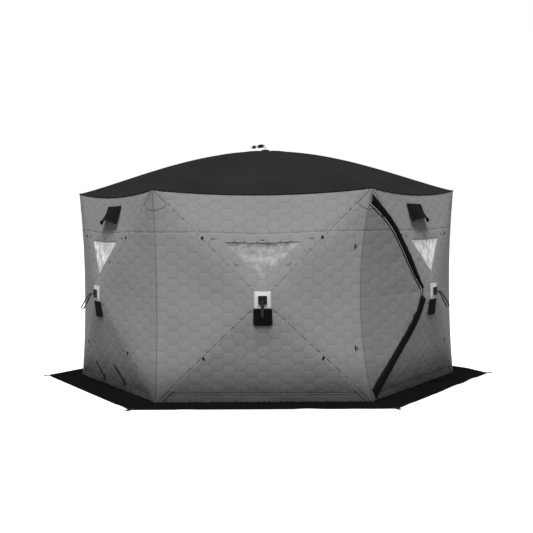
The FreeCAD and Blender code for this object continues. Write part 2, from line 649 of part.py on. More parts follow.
def all_nodes():
    nodes = {"roof_cover": roof_cover(), "skirt": skirt(), "hub_patches": hub_patches()}
    for wall in WALLS:
        nodes[f"{wall}_wall"] = wall_cover(wall)
        nodes[f"{wall}_hub"] = wall_hub(wall)
        for corner in POLE_CORNERS:
            nodes[f"{wall}_{corner}_pole"] = wall_pole(wall, corner)
    nodes["roof_hub"] = placed(hub(CORNERS.values()), roof_hub_frame())
    nodes["roof_pull_strap"] = placed([roof_pull_strap()], roof_hub_frame())
    for corner in CORNERS:
        nodes[f"roof_{corner}_pole"] = roof_pole(corner)
    nodes["corner_pockets"] = [shape for wall in WALLS for shape in wall_pockets(wall)]
    nodes["corner_pockets"] += [shape for corner in CORNERS for shape in roof_pocket(corner)]
    nodes["door_panel"] = [door_panel()]
    nodes["door_zip_track"] = door_zip_track()
    nodes["upper_zip_slider"] = slider("upper")
    nodes["lower_zip_slider"] = slider("lower")
    nodes["left_vent_hood"] = vent_hood("front_left")
    nodes["right_vent_hood"] = vent_hood("front_right")
    nodes["left_vent_mesh"] = [vent_mesh("front_left")]
    nodes["right_vent_mesh"] = [vent_mesh("front_right")]
    nodes["window_panes"] = [window_pane(wall) for wall in WALLS]
    nodes["door_tiebacks"] = door_tiebacks()
    nodes["webbing_tabs"] = base_straps() + [anchor_tab(corner) for corner in CORNERS]
    nodes["anchor_eyelets"] = [anchor_eyelet(corner) for corner in CORNERS]
    return nodes


os.makedirs("parts", exist_ok=True)
for name, solids in all_nodes().items():
    shape = solids[0] if len(solids) == 1 else Part.makeCompound(solids)
    shape.exportStep(f"parts/{name}.step")
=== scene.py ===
import math

import bmesh
import bpy
from mathutils import Matrix, Vector, noise
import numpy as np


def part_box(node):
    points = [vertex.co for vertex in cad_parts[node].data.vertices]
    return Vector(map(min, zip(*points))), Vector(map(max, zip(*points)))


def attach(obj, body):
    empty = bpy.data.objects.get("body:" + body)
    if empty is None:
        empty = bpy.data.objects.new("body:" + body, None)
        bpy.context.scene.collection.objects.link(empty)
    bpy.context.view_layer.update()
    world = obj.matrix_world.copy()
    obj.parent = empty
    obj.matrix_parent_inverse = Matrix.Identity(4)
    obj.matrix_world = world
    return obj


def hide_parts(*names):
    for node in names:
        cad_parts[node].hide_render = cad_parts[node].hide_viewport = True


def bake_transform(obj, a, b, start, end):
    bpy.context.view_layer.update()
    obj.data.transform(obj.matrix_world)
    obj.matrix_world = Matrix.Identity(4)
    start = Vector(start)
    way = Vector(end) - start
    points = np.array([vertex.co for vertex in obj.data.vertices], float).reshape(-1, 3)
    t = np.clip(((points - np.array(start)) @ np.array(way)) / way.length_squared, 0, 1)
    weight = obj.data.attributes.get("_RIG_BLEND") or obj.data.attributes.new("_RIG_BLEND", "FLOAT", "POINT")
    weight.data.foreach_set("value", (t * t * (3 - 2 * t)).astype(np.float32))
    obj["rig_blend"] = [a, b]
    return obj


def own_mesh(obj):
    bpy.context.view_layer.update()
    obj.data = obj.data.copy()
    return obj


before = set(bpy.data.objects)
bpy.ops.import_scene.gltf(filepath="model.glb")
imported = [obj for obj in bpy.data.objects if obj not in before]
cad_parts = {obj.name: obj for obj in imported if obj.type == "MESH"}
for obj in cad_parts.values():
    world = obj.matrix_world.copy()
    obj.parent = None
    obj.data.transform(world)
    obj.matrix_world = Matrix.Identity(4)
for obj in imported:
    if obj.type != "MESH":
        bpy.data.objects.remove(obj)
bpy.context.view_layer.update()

# Metres, in the frame's axes: +Z up, the front wall faces -Y. On a wall, "across" runs to the right as seen
# from outside, "up" is the height above the ice, and "out" is the distance outside the wall's corner plane.

# The shelter's main sizes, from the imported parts.
HUB_RADIUS = 0.075
HUB_HOLE = 0.030
WALL_LOW, WALL_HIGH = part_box("front_wall")
HALF = WALL_HIGH.x
APOTHEM = HALF / math.tan(math.radians(30))
WALL_HEIGHT = WALL_HIGH.z
HUB_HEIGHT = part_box("front_hub")[1].z - HUB_RADIUS
HUB_SPOT = Vector((0, HUB_HEIGHT))
HUB_BULGE = (-WALL_LOW.y - APOTHEM) / (1 - HUB_HOLE / HALF)
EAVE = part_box("roof_cover")[0].z + 0.003
ROOF_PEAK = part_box("roof_cover")[1].z
ROOF_ROUNDNESS = 1.15
SKIRT_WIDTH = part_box("skirt")[1].y - APOTHEM
UP = Vector((0, 0, 1))

WALLS = {"front": -90, "front_right": -30, "back_right": 30, "back": 90, "back_left": 150, "front_left": -150}
DOOR_WALL = "front_right"
DOOR_CORNER = -60

# The zip's line on the door wall, from the top of the corner seam round the nose to the seam's foot.
DOOR_LINE = [(-0.897, 1.640), (-0.650, 1.450), (-0.470, 1.232), (-0.320, 1.032), (-0.200, 0.900),
             (-0.198, 0.840), (-0.330, 0.637), (-0.897, 0.089)]

FACETS = ("top", "bottom", "left", "right")
VENTS = {"front_left": ("left_vent", 0.100), "front_right": ("right_vent", -0.100)}

# How the stretched cloth hangs between the poles.
SEAM_BOW = 0.036
DOOR_SEAM_BOW = 0.100
EAVE_SAG = 0.048
ROOF_SAG = 0.018
BROAD_WRINKLE = 0.0065
FINE_WRINKLE = 0.0016
CREASE_ROUND = 0.16           # how far each side of a crease its rounding reaches, as a share of the wall
NOSE = Vector((-0.198, 0.870))
NOSE_PUCKER = 0.0065          # the folds that spread over the door from its nose
ZIP_PUCKER = 0.0075           # the tucks along the door's upper zip

# Thicknesses, the webbing's width, and how far each thing that is sewn on is lifted off the wall's cloth.
CLOTH = 0.003
BLACK_CLOTH = 0.0022
SHEET = 0.0008
STRAP_WIDTH = 0.025
LIFTS = {"fan": 0.0044, "strip": 0.0048, "patch": 0.0062, "base patch": 0.0064, "base strap": 0.0090,
         "tab": 0.0070, "hub flap": 0.0070, "tape": 0.0060, "teeth": 0.0072, "storm flap": 0.0105}

# Quilting: flat-topped hexagons.
HEX_SIDE = 0.063
HEX_HEIGHT = HEX_SIDE * math.sqrt(3)
HEX_RINGS = ((1.0, 0.0, 1.0), (0.93, 0.0008, 0.0), (0.74, 0.0015, 0.0), (0.40, 0.0019, 0.0))
HEX_CENTRE_LIFT = 0.0020
ROOF_QUILT = 0.45

# The sewn line across each wall, the two lines at its hem, and the heights that the hem's painted shade fades
# between.
SEAM_UP = 1.420
HEM_LINES = (0.085, 0.066)
HEM_DARK_TOP, HEM_DARK_LOW = 0.44, -0.02
STITCH_SHADE = 0.28           # how dark the stitch lines are, as a share of the cloth: partly the thread, partly painted shade in their grooves
GROOVE = 0.0035
GROOVE_DEPTH = 0.0022

WINDOW_TOP = 1.340
WINDOW_APEX = 1.045
WINDOW_HALF = 0.305
VENT_LOW, VENT_HIGH, VENT_HALF = 1.530, 1.630, 0.110
FRAME_STRIP = 2.45            # the length of the strip of cloth between the door's zip and the creases

# How far past a facet's two ends the cloth's bending starts and stops, as a share of the facet.
BEND_EXTRA = 0.08


def smooth(value):
    value = min(max(value, 0.0), 1.0)
    return value * value * (3 - 2 * value)


def bearing(degrees):
    angle = math.radians(degrees)
    return Vector((math.cos(angle), math.sin(angle), 0))


def wall_axes(wall):
    normal = bearing(WALLS[wall])
    return normal, UP.cross(normal)


def wall_point(wall, across, up, out):
    normal, along = wall_axes(wall)
    return normal * (APOTHEM + out) + along * across + UP * up


def height_span(up):
    return WALL_HEIGHT - HUB_HEIGHT if up > HUB_HEIGHT else HUB_HEIGHT


def shares(across, up):
    """How far out from the hub a place is, sideways and in height, from 0 to 1."""
    return min(abs(across) / HALF, 1.0), min(abs(up - HUB_HEIGHT) / height_span(up), 1.0)


def seam_shift(wall, sign, up):
    """How far the corner seam is pulled from its straight line at this height."""
    corner = (WALLS[wall] + 30 * sign + 180) % 360 - 180
    arch = 4 * (up / WALL_HEIGHT) * (1 - up / WALL_HEIGHT)
    if corner == DOOR_CORNER:
        return Vector((-DOOR_SEAM_BOW * arch, 0, 0))
    return bearing(corner) * (-SEAM_BOW * arch)


def wrinkle(wall, across, up, share, ridge):
    """Slack in the cloth: none on the creases and seams, most of it low down."""
    seed = WALLS[wall] * 0.17
    calm = smooth(ridge / 0.12) * smooth((1 - share) / 0.08)
    low = 1 + 1.3 * smooth((0.55 - up) / 0.55)
    broad = noise.noise(Vector((across * 2.3 + up, up * 1.9, seed)))
    fine = noise.noise(Vector((across * 8 - up * 3, up * 11, seed + 5)))
    return calm * low * (BROAD_WRINKLE * broad + FINE_WRINKLE * fine)


def pucker(across, up):
    """The door's folds: a fan from its nose, and tucks beside the upper zip. None on the zip or the seam."""
    from_nose = Vector((across, up)) - NOSE
    reach = from_nose.length
    turn = math.atan2(from_nose.y, -from_nose.x)
    fan = noise.noise(Vector((turn * 5.5, reach * 0.8, 2.3)))
    fan *= smooth(reach / 0.06) * (1 - smooth(reach / 0.48))
    start, end = Vector(DOOR_LINE[0]), Vector(DOOR_LINE[4])
    way = (end - start).normalized()
    along = (Vector((across, up)) - start).dot(way)
    beside = (Vector((across, up)) - start).dot(Vector((way.y, -way.x)))
    tuck = noise.noise(Vector((along * 9.0, 5.1, 0.4))) * smooth(beside / 0.04) * (1 - smooth(beside / 0.20))
    inside = smooth(-across / 0.30) * smooth((across + HALF) / 0.10)
    return inside * (NOSE_PUCKER * fan + ZIP_PUCKER * tuck)


def cloth_point(wall, across, up, lift=0.0):
    """A place on the stretched wall: a four-sided pyramid whose edges are pulled in between the corners."""
    normal, _ = wall_axes(wall)
    side, height = shares(across, up)
    share = max(side, height)
    point = wall_point(wall, across, up, HUB_BULGE * (1 - share))
    if side > height:
        pull = (side - height) / (1 - height)
        point += seam_shift(wall, 1 if across > 0 else -1, up) * pull * pull
    elif up > HUB_HEIGHT and side < 1:
        pull = (height - side) / (1 - side)
        point.z -= EAVE_SAG * (1 - side * side) * pull * pull
    near = max(CREASE_ROUND - abs(side - height), 0.0)
    calm = smooth(share / 0.15) * smooth((1 - share) / 0.10)
    lift -= HUB_BULGE * near * near / CREASE_ROUND / 4 * calm
    if wall == DOOR_WALL and in_door(across, up):
        lift += pucker(across, up)
    return point + normal * (wrinkle(wall, across, up, share, abs(side - height)) + lift)


# Flat nets, cut to shape and then put on the wall.

def sides_of(outline):
    """Each side of a closed outline, as its two ends."""
    return zip(outline, outline[1:] + outline[:1])


def box_corners(low, high):
    return [low, (high[0], low[1]), high, (low[0], high[1])]


def grid_faces(rows, columns, start=0):
    """The faces of a grid of points that are listed row by row."""
    faces = []
    for row in range(rows):
        for column in range(columns):
            corner = start + row * (columns + 1) + column
            faces.append((corner, corner + columns + 1, corner + columns + 2, corner + 1))
    return faces


def hexagon_net(width, height):
    """Quilted cloth laid flat. Each hexagon has rings of points, with the quilting's lift and stitch line."""
    points, faces, lifts, stitches = [], [], [], []
    columns = math.ceil(width / 2 / (1.5 * HEX_SIDE)) + 1
    rows = math.ceil(height / HEX_HEIGHT) + 2
    rim = []
    for corner in range(6):
        first, second = math.radians(60 * corner), math.radians(60 * corner + 60)
        a = Vector((math.cos(first), math.sin(first))) * HEX_SIDE
        b = Vector((math.cos(second), math.sin(second))) * HEX_SIDE
        rim += [a, (a + b) / 2]
    for column in range(-columns, columns + 1):
        for row in range(-1, rows):
            centre = Vector((column * 1.5 * HEX_SIDE, (row + column % 2 / 2) * HEX_HEIGHT))
            start = len(points)
            for share, lift, stitch in HEX_RINGS:
                points += [centre + spot * share for spot in rim]
                lifts += [lift] * len(rim)
                stitches += [stitch] * len(rim)
            points.append(centre)
            lifts.append(HEX_CENTRE_LIFT)
            stitches.append(0.0)
            count = len(rim)
            for ring in range(len(HEX_RINGS) - 1):
                for spot in range(count):
                    after = (spot + 1) % count
                    low, high = start + ring * count, start + (ring + 1) * count
                    faces.append((low + spot, low + after, high + after, high + spot))
            last = start + (len(HEX_RINGS) - 1) * count
            for spot in range(count):
                faces.append((last + spot, last + (spot + 1) % count, len(points) - 1))
    return as_bmesh(points, faces, lifts, stitches)


def as_bmesh(points, faces, lifts, stitches):
    mesh = bpy.data.meshes.new("net")
    mesh.from_pydata([(p.x, p.y, 0) for p in points], [], faces)
    net = bmesh.new()
    net.from_mesh(mesh)
    bpy.data.meshes.remove(mesh)
    lift_layer = net.verts.layers.float.new("lift")
    stitch_layer = net.verts.layers.float.new("stitch")
    net.verts.ensure_lookup_table()
    for vertex, lift, stitch in zip(net.verts, lifts, stitches):
        vertex[lift_layer] = lift
        vertex[stitch_layer] = stitch
    bmesh.ops.remove_doubles(net, verts=net.verts, dist=0.0004)
    return net


def grid_net(low, high, step):
    """Plain cloth laid flat, as a grid over the box from low to high."""
    columns = max(2, round((high[0] - low[0]) / step))
    rows = max(2, round((high[1] - low[1]) / step))
    points = []
    for row in range(rows + 1):
        for column in range(columns + 1):
            points.append(Vector((low[0] + (high[0] - low[0]) * column / columns,
                                  low[1] + (high[1] - low[1]) * row / rows)))
    faces = [(a, d, c, b) for a, b, c, d in grid_faces(rows, columns)]
    return as_bmesh(points, faces, [0.0] * len(points), [0.0] * len(points))


def cut(net, first, second, drop=False, within=None):
    """Cuts the net along the line from first to second. drop takes away what is on the line's right."""
    start = Vector((first[0], first[1], 0))
    run = Vector((second[0], second[1], 0)) - start
    right = Vector((run.y, -run.x, 0)).normalized()
    if within:
        faces = [f for f in net.faces if within(f.calc_center_median())]
        parts = set(faces)
        for face in faces:
            parts.update(face.edges)
            parts.update(face.verts)
        parts = list(parts)
    else:
        parts = list(net.verts) + list(net.edges) + list(net.faces)
    bmesh.ops.bisect_plane(net, geom=parts, dist=1e-5, plane_co=start, plane_no=right, clear_outer=drop)


def cut_outline(net, outline):
    """Keeps what is inside a convex outline that runs counter-clockwise."""
    for first, second in sides_of(outline):
        cut(net, first, second, drop=True)


def near_box(low, high):
    """Tells whether a face's centre is in a box, with a hexagon's margin round it."""
    margin = 0.07

    def inside(centre):
        return (low[0] - margin < centre.x < high[0] + margin
                and low[1] - margin < centre.y < high[1] + margin)
    return inside


def split_at_creases(net):
    for sign in (-1, 1):
        for corner_up in (0, WALL_HEIGHT):
            cut(net, (0, HUB_HEIGHT), (sign * HALF, corner_up))


def cut_groove(net, level):
    near = near_box((-HALF, level), (HALF, level))
    for offset in (-GROOVE, 0, GROOVE):
        cut(net, (-HALF, level + offset), (HALF, level + offset), within=near)


def wall_net(wall):
    """One wall's quilted cloth laid flat, with edges wherever it is creased, sewn or open."""
    net = hexagon_net(2 * HALF, WALL_HEIGHT)
    cut_outline(net, [(-HALF, 0), (HALF, 0), (HALF, WALL_HEIGHT), (-HALF, WALL_HEIGHT)])
    split_at_creases(net)
    for level in (SEAM_UP, *HEM_LINES):
        cut_groove(net, level)
    window = [(-WINDOW_HALF, WINDOW_TOP), (0, WINDOW_APEX), (WINDOW_HALF, WINDOW_TOP)]
    near = near_box((-WINDOW_HALF, WINDOW_APEX), (WINDOW_HALF, WINDOW_TOP))
    for first, second in sides_of(window):
        cut(net, first, second, within=near)
    hole = box_corners((-HUB_HOLE, HUB_HEIGHT - HUB_HOLE), (HUB_HOLE, HUB_HEIGHT + HUB_HOLE))
    near = near_box(hole[0], hole[2])
    for first, second in sides_of(hole):
        cut(net, first, second, within=near)
    if wall in VENTS:
        centre = VENTS[wall][1]
        low, high = (centre - VENT_HALF, VENT_LOW), (centre + VENT_HALF, VENT_HIGH)
        for first, second in sides_of(box_corners(low, high)):
            cut(net, first, second, within=near_box(low, high))
    if wall == DOOR_WALL:
        for first, second in zip(DOOR_LINE, DOOR_LINE[1:]):
            low = (min(first[0], second[0]), min(first[1], second[1]))
            high = (max(first[0], second[0]), max(first[1], second[1]))
            cut(net, first, second, within=near_box(low, high))
    return net


def window_rise(up):
    """How far up a window this height is, from 0 at its apex to 1 at its top."""
    return (up - WINDOW_APEX) / (WINDOW_TOP - WINDOW_APEX)


def in_window(across, up):
    return 0 < window_rise(up) < 1 and abs(across) < WINDOW_HALF * window_rise(up)


def in_vent(wall, across, up):
    return wall in VENTS and abs(across - VENTS[wall][1]) < VENT_HALF and VENT_LOW < up < VENT_HIGH


def in_hub_hole(across, up):
    return abs(across) < HUB_HOLE and abs(up - HUB_HEIGHT) < HUB_HOLE


def in_door(across, up):
    """Whether a place on the door wall's left facet is inside the zip's line."""
    if across > DOOR_LINE[4][0] - 0.0005 or up > DOOR_LINE[0][1]:
        return False
    for first, second in zip(DOOR_LINE, DOOR_LINE[1:]):
        reach = (across - first[0]) * (second[1] - first[1]) - (up - first[1]) * (second[0] - first[0])
        low, high = min(first[0], second[0]), max(first[0], second[0])
        if low <= across <= high and reach < 0:
            return False
    return True


def facet_of(across, up):
    side, height = shares(across, up)
    if side > height:
        return "right" if across > 0 else "left"
    return "top" if up > HUB_HEIGHT else "bottom"


def groove(up):
    """How deep into a sewn line this height is, from 0 to 1."""
    return max(0.0, 1 - min(abs(up - level) for level in (SEAM_UP, *HEM_LINES)) / (GROOVE * 0.98))


def put_on_wall(wall, across, up, lift, stitch):
    """The place and stitch shade of a point of the quilted net."""
    side, height = shares(across, up)
    edge = 1 - max(side, height)
    quilt = smooth(edge / 0.02) * smooth((up - HEM_LINES[0]) / 0.02)
    line = groove(up)
    seam = 1.0 if edge < 0.0005 and side > height else 0.0
    # The stitch lines, sewn grooves and corner seams get a darker shade: partly the thread, partly painted
    # shade.
    shade = max(stitch * quilt * 0.8, line, seam)
    return cloth_point(wall, across, up, lift * quilt - line * GROOVE_DEPTH), shade


def add_object(name, data):
    made = bpy.data.objects.new(name, data)
    bpy.context.scene.collection.objects.link(made)
    return made


def mesh_object(name, points, faces, material, smooth_shaded=True, shades=None):
    """A piece with its material and how dark its stitch lines are at each point."""
    mesh = bpy.data.meshes.new(name)
    mesh.from_pydata(points, [], faces)
    if smooth_shaded:
        mesh.shade_smooth()
    mesh.materials.append(MATERIALS[material])
    attribute = mesh.attributes.new("stitch", "FLOAT", "POINT")
    attribute.data.foreach_set("value", shades or [0.0] * len(points))
    piece = add_object(name, mesh)
    return piece


def thicken(piece, thickness, side=-1):
    """Gives a surface its thickness: inwards with side -1, outwards with 1, and half each way with 0."""
    solid = piece.modifiers.new("thickness", "SOLIDIFY")
    solid.thickness = thickness
    solid.offset = side


def sheet_object(name, net, place, material, thickness=CLOTH, chosen=None):
    """Puts a flat net, or its chosen faces, in place as a cloth with thickness. Returns the piece, its flat
    size and its area."""
    net.verts.index_update()
    lift_layer = net.verts.layers.float["lift"]
    stitch_layer = net.verts.layers.float["stitch"]
    index, points, shades, flat, faces = {}, [], [], [], []
    area = 0.0
    for face in net.faces:
        centre = face.calc_center_median()
        if chosen and not chosen(centre.x, centre.y):
            continue
        loop = []
        for vertex in face.verts:
            if vertex.index not in index:
                index[vertex.index] = len(points)
                point, shade = place(vertex.co.x, vertex.co.y, vertex[lift_layer], vertex[stitch_layer])
                points.append(point)
                shades.append(shade)
                flat.append((vertex.co.x, vertex.co.y))
            loop.append(index[vertex.index])
        faces.append(loop)
        area += face.calc_area()
    piece = mesh_object(name, points, faces, material, shades=shades)
    layer = piece.data.uv_layers.new(name="flat")
    for loop in piece.data.loops:
        layer.data[loop.index].uv = flat[loop.vertex_index]
    thicken(piece, thickness)
    acrosses, ups = zip(*flat)
    return piece, (max(acrosses) - min(acrosses), max(ups) - min(ups)), area


def follow_wall(piece, wall, facet):
    """The piece bends with the wall's cloth as the hub is pushed in."""
    if facet in ("top", "bottom"):
        reach = WALL_HEIGHT - HUB_HEIGHT if facet == "top" else -HUB_HEIGHT
        start = wall_point(wall, 0, HUB_HEIGHT + reach * (1 + BEND_EXTRA), 0)
        end = wall_point(wall, 0, HUB_HEIGHT - reach * BEND_EXTRA, 0)
    else:
        reach = HALF if facet == "right" else -HALF
        start = wall_point(wall, reach * (1 + BEND_EXTRA), HUB_HEIGHT, 0)
        end = wall_point(wall, -reach * BEND_EXTRA, HUB_HEIGHT, 0)
    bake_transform(piece, "root", f"{wall}_hub", start=start, end=end)


def declare(piece):
    return piece


# Materials.

def grey(shade):
    return shade, shade, shade


def scaled(colour, share):
    return tuple(channel * share for channel in colour)


def new_material(name, values):
    """A material, its node tree and its shader's sockets, with these values set on them."""
    material = bpy.data.materials.new(name)
    material.use_nodes = True
    inputs = material.node_tree.nodes["Principled BSDF"].inputs
    for socket, value in values.items():
        inputs[socket].default_value = value
    return material, material.node_tree, inputs


def object_coordinates(tree, scale=(1, 1, 1)):
    coordinates = tree.nodes.new("ShaderNodeTexCoord")
    mapping = tree.nodes.new("ShaderNodeMapping")
    mapping.inputs["Scale"].default_value = scale
    tree.links.new(coordinates.outputs["Object"], mapping.inputs["Vector"])
    return mapping.outputs["Vector"]


def mix_colour(tree, factor, first, second):
    mix = tree.nodes.new("ShaderNodeMix")
    mix.data_type = "RGBA"
    tree.links.new(factor, mix.inputs["Factor"])
    for socket, value in ((mix.inputs["A"], first), (mix.inputs["B"], second)):
        if isinstance(value, tuple):
            socket.default_value = (*value, 1)
        else:
            tree.links.new(value, socket)
    return mix.outputs["Result"]


def remap(tree, value, source=(0.0, 1.0), target=(0.0, 1.0), interpolation="LINEAR"):
    """The value moved from the source's span to the target's."""
    node = tree.nodes.new("ShaderNodeMapRange")
    node.interpolation_type = interpolation
    for socket, number in zip(("From Min", "From Max", "To Min", "To Max"), (*source, *target)):
        node.inputs[socket].default_value = number
    tree.links.new(value, node.inputs["Value"])
    return node.outputs["Result"]


def noise_of(tree, vector, scale, detail):
    texture = tree.nodes.new("ShaderNodeTexNoise")
    texture.inputs["Scale"].default_value = scale
    texture.inputs["Detail"].default_value = detail
    tree.links.new(vector, texture.inputs["Vector"])
    return texture.outputs["Fac"]


def add_bump(tree, inputs, height, strength, distance):
    bump = tree.nodes.new("ShaderNodeBump")
    bump.inputs["Strength"].default_value = strength
    bump.inputs["Distance"].default_value = distance
    tree.links.new(height, bump.inputs["Height"])
    tree.links.new(bump.outputs["Normal"], inputs["Normal"])


def weave_height(tree, vector, threads):
    """A plain weave: two crossed sets of threads."""
    product = tree.nodes.new("ShaderNodeMath")
    product.operation = "MULTIPLY"
    for number, direction in enumerate(("X", "Z")):
        wave = tree.nodes.new("ShaderNodeTexWave")
        wave.bands_direction = direction
        wave.inputs["Scale"].default_value = threads
        wave.inputs["Distortion"].default_value = 0.6
        wave.inputs["Detail"].default_value = 1.0
        tree.links.new(vector, wave.inputs["Vector"])
        tree.links.new(wave.outputs["Fac"], product.inputs[number])
    return product.outputs["Value"]


def cloth_material(name, light, dark, thread, roughness, sheen, gloss, threads=160, hem=1.0):
    """Woven coated cloth: faded in patches; its stitch lines are darker, partly as painted shade, and the hem
    has painted shade.
    """
    material, tree, inputs = new_material(name, {
        "Roughness": roughness, "Sheen Weight": sheen, "Sheen Roughness": 0.5, "Specular IOR Level": gloss})
    vector = object_coordinates(tree)
    patches = remap(tree, noise_of(tree, vector, 2.2, 5.0), (0.3, 0.7))
    colour = mix_colour(tree, patches, dark, light)
    flecks = remap(tree, noise_of(tree, vector, 420.0, 2.0), (0.62, 0.80))
    colour = mix_colour(tree, flecks, colour, thread)
    # Stitch lines, sewn grooves and corner seams are darkened: partly the thread, partly painted shade.
    stitch = tree.nodes.new("ShaderNodeAttribute")
    stitch.attribute_name = "stitch"
    lines = remap(tree, stitch.outputs["Fac"], (0.0, 3.0))
    colour = mix_colour(tree, lines, colour, scaled(dark, STITCH_SHADE))
    # Painted shade: the colour is darkened towards the hem.
    height = tree.nodes.new("ShaderNodeSeparateXYZ")
    tree.links.new(vector, height.inputs["Vector"])
    painted_hem_shade = remap(tree, height.outputs["Z"], (HEM_DARK_TOP, HEM_DARK_LOW), (0.0, 1 - hem), "SMOOTHSTEP")
    colour = mix_colour(tree, painted_hem_shade, colour, grey(0.004))
    tree.links.new(colour, inputs["Base Color"])
    add_bump(tree, inputs, weave_height(tree, vector, threads), 0.35, 0.0006)
    return material


def plastic_material(name, colour, roughness):
    """Moulded plastic: a fine grain, with scuffs that are a little lighter and rougher."""
    material, tree, inputs = new_material(name, {"Specular IOR Level": 0.12})
    vector = object_coordinates(tree)
    scuffs = remap(tree, noise_of(tree, vector, 26.0, 6.0), (0.55, 0.80))
    worn = tuple(channel * 1.8 + 0.01 for channel in colour)
    tree.links.new(mix_colour(tree, scuffs, colour, worn), inputs["Base Color"])
    tree.links.new(remap(tree, scuffs, target=(roughness, roughness + 0.25)), inputs["Roughness"])
    add_bump(tree, inputs, noise_of(tree, vector, 900.0, 2.0), 0.15, 0.0003)
    return material


def webbing_material(name, colour):
    """Ribbed nylon webbing."""
    material, tree, inputs = new_material(name, {"Roughness": 0.7, "Specular IOR Level": 0.15})
    height = weave_height(tree, object_coordinates(tree), 300)
    tree.links.new(mix_colour(tree, height, colour, scaled(colour, 2.2)), inputs["Base Color"])
    add_bump(tree, inputs, height, 0.6, 0.0008)
    return material


def metal_material(name, colour, roughness):
    """Metal, darker where it is worn."""
    material, tree, inputs = new_material(name, {"Metallic": 1.0, "Roughness": roughness})
    vector = object_coordinates(tree)
    worn = remap(tree, noise_of(tree, vector, 60.0, 6.0), (0.35, 0.75))
    tree.links.new(mix_colour(tree, worn, colour, scaled(colour, 0.6)), inputs["Base Color"])
    add_bump(tree, inputs, noise_of(tree, vector, 700.0, 2.0), 0.1, 0.0002)
    return material


def pole_material(name):
    """Pultruded glass fibre: fine streaks under a clear resin."""
    material, tree, inputs = new_material(name, {"Roughness": 0.35, "Coat Weight": 0.5})
    streaks = noise_of(tree, object_coordinates(tree, (1, 1, 0.05)), 300.0, 4.0)
    colour = mix_colour(tree, streaks, (0.012, 0.012, 0.014), (0.06, 0.06, 0.065))
    tree.links.new(colour, inputs["Base Color"])
    add_bump(tree, inputs, streaks, 0.15, 0.0003)
    return material


def vinyl_material(name, dull, bright, thin, thick):
    """Window sheet: soft and see-through in places, and milky in patches that are lighter, partly as painted
    highlights.
    """
    material, tree, inputs = new_material(name, {
        "Roughness": 0.12, "Coat Weight": 0.6, "Coat Roughness": 0.05})
    vector = object_coordinates(tree)
    # Painted highlights: the lighter, less clear patches stand in partly for glints on the sheet.
    milky_patches_and_painted_highlights = remap(tree, noise_of(tree, vector, 14.0, 4.0), (0.35, 0.70))
    tree.links.new(mix_colour(tree, milky_patches_and_painted_highlights, dull, bright), inputs["Base Color"])
    tree.links.new(remap(tree, milky_patches_and_painted_highlights, target=(thin, thick)), inputs["Alpha"])
    add_bump(tree, inputs, noise_of(tree, vector, 30.0, 3.0), 0.5, 0.004)
    return material


def mesh_material(name):
    """Open insect mesh: threads with see-through gaps."""
    material, tree, inputs = new_material(name, {"Base Color": (*grey(0.012), 1), "Roughness": 0.6})
    height = weave_height(tree, object_coordinates(tree), 110)
    tree.links.new(remap(tree, height, (0.45, 0.15)), inputs["Alpha"])
    add_bump(tree, inputs, height, 0.4, 0.0006)
    return material


WALL_FINISH = {"roughness": 0.80, "sheen": 0.04, "gloss": 0.10, "hem": 0.30}
MATERIALS = {
    "wall": cloth_material("grey_quilted_cloth", (0.187, 0.187, 0.184), (0.172, 0.172, 0.170), grey(0.21),
                           **WALL_FINISH),
    # The door's cloth is darker than the walls': partly its own tone, partly painted shade.
    "door": cloth_material("grey_door_cloth_partly_painted_shade", (0.156, 0.156, 0.154), (0.142, 0.142, 0.140), grey(0.18),
                           **WALL_FINISH),
    "seam": cloth_material("grey_seam_tape", (0.115, 0.115, 0.113), grey(0.10), grey(0.14), threads=220,
                           **WALL_FINISH),
    "roof": cloth_material("black_roof_cloth", (0.0150, 0.0150, 0.0155), (0.0115, 0.0115, 0.012), grey(0.022),
                           0.70, 0.02, 0.0),
    "skirt": cloth_material("black_skirt_cloth", grey(0.0055), grey(0.0040), grey(0.009), 0.80, 0.0, 0.0),
    "black": cloth_material("black_flap_cloth", (0.0060, 0.0060, 0.0065), grey(0.0045), grey(0.010),
                            0.60, 0.0, 0.02, 220),
    "patch": cloth_material("pale_patch_cloth", grey(0.46), grey(0.42), grey(0.52), 0.60, 0.05, 0.25, 220),
    "vinyl": vinyl_material("milky_window_sheet_painted_highlights", grey(0.42), grey(0.72), 0.85, 1.0),
    "clear_vinyl": vinyl_material("clear_window_sheet_painted_highlights", grey(0.34), grey(0.62), 0.10, 0.30),
    "mesh": mesh_material("insect_mesh"),
    "plastic": plastic_material("black_plastic", (0.008, 0.008, 0.009), 0.40),
    "pole": pole_material("glass_fibre"),
    "webbing": webbing_material("black_webbing", grey(0.0045)),
    "zip": metal_material("zip_metal", (0.55, 0.55, 0.56), 0.30),
    "slider": metal_material("black_slider_metal", (0.03, 0.03, 0.032), 0.40),
    "eyelet": metal_material("eyelet_metal", (0.62, 0.62, 0.60), 0.28),
}


# The walls and the roof.

def make_wall(wall):
    net = wall_net(wall)

    def place(across, up, lift, stitch):
        return put_on_wall(wall, across, up, lift, stitch)

    for facet in FACETS:
        def chosen(across, up, facet=facet):
            if facet_of(across, up) != facet or in_hub_hole(across, up):
                return False
            if facet == "top":
                return not in_window(across, up) and not in_vent(wall, across, up)
            return not (wall == DOOR_WALL and facet == "left" and in_door(across, up))

        piece, size, area = sheet_object(f"{wall}_{facet}_cloth", net, place, "wall",
                                         chosen=chosen)
        follow_wall(piece, wall, facet)
        if wall == DOOR_WALL and facet == "left":
            size = (FRAME_STRIP, area / FRAME_STRIP * 1.3)
        declare(piece)
        if facet == "top":
            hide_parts(f"{wall}_wall")
    if wall == DOOR_WALL:
        make_door(net, place)
    net.free()


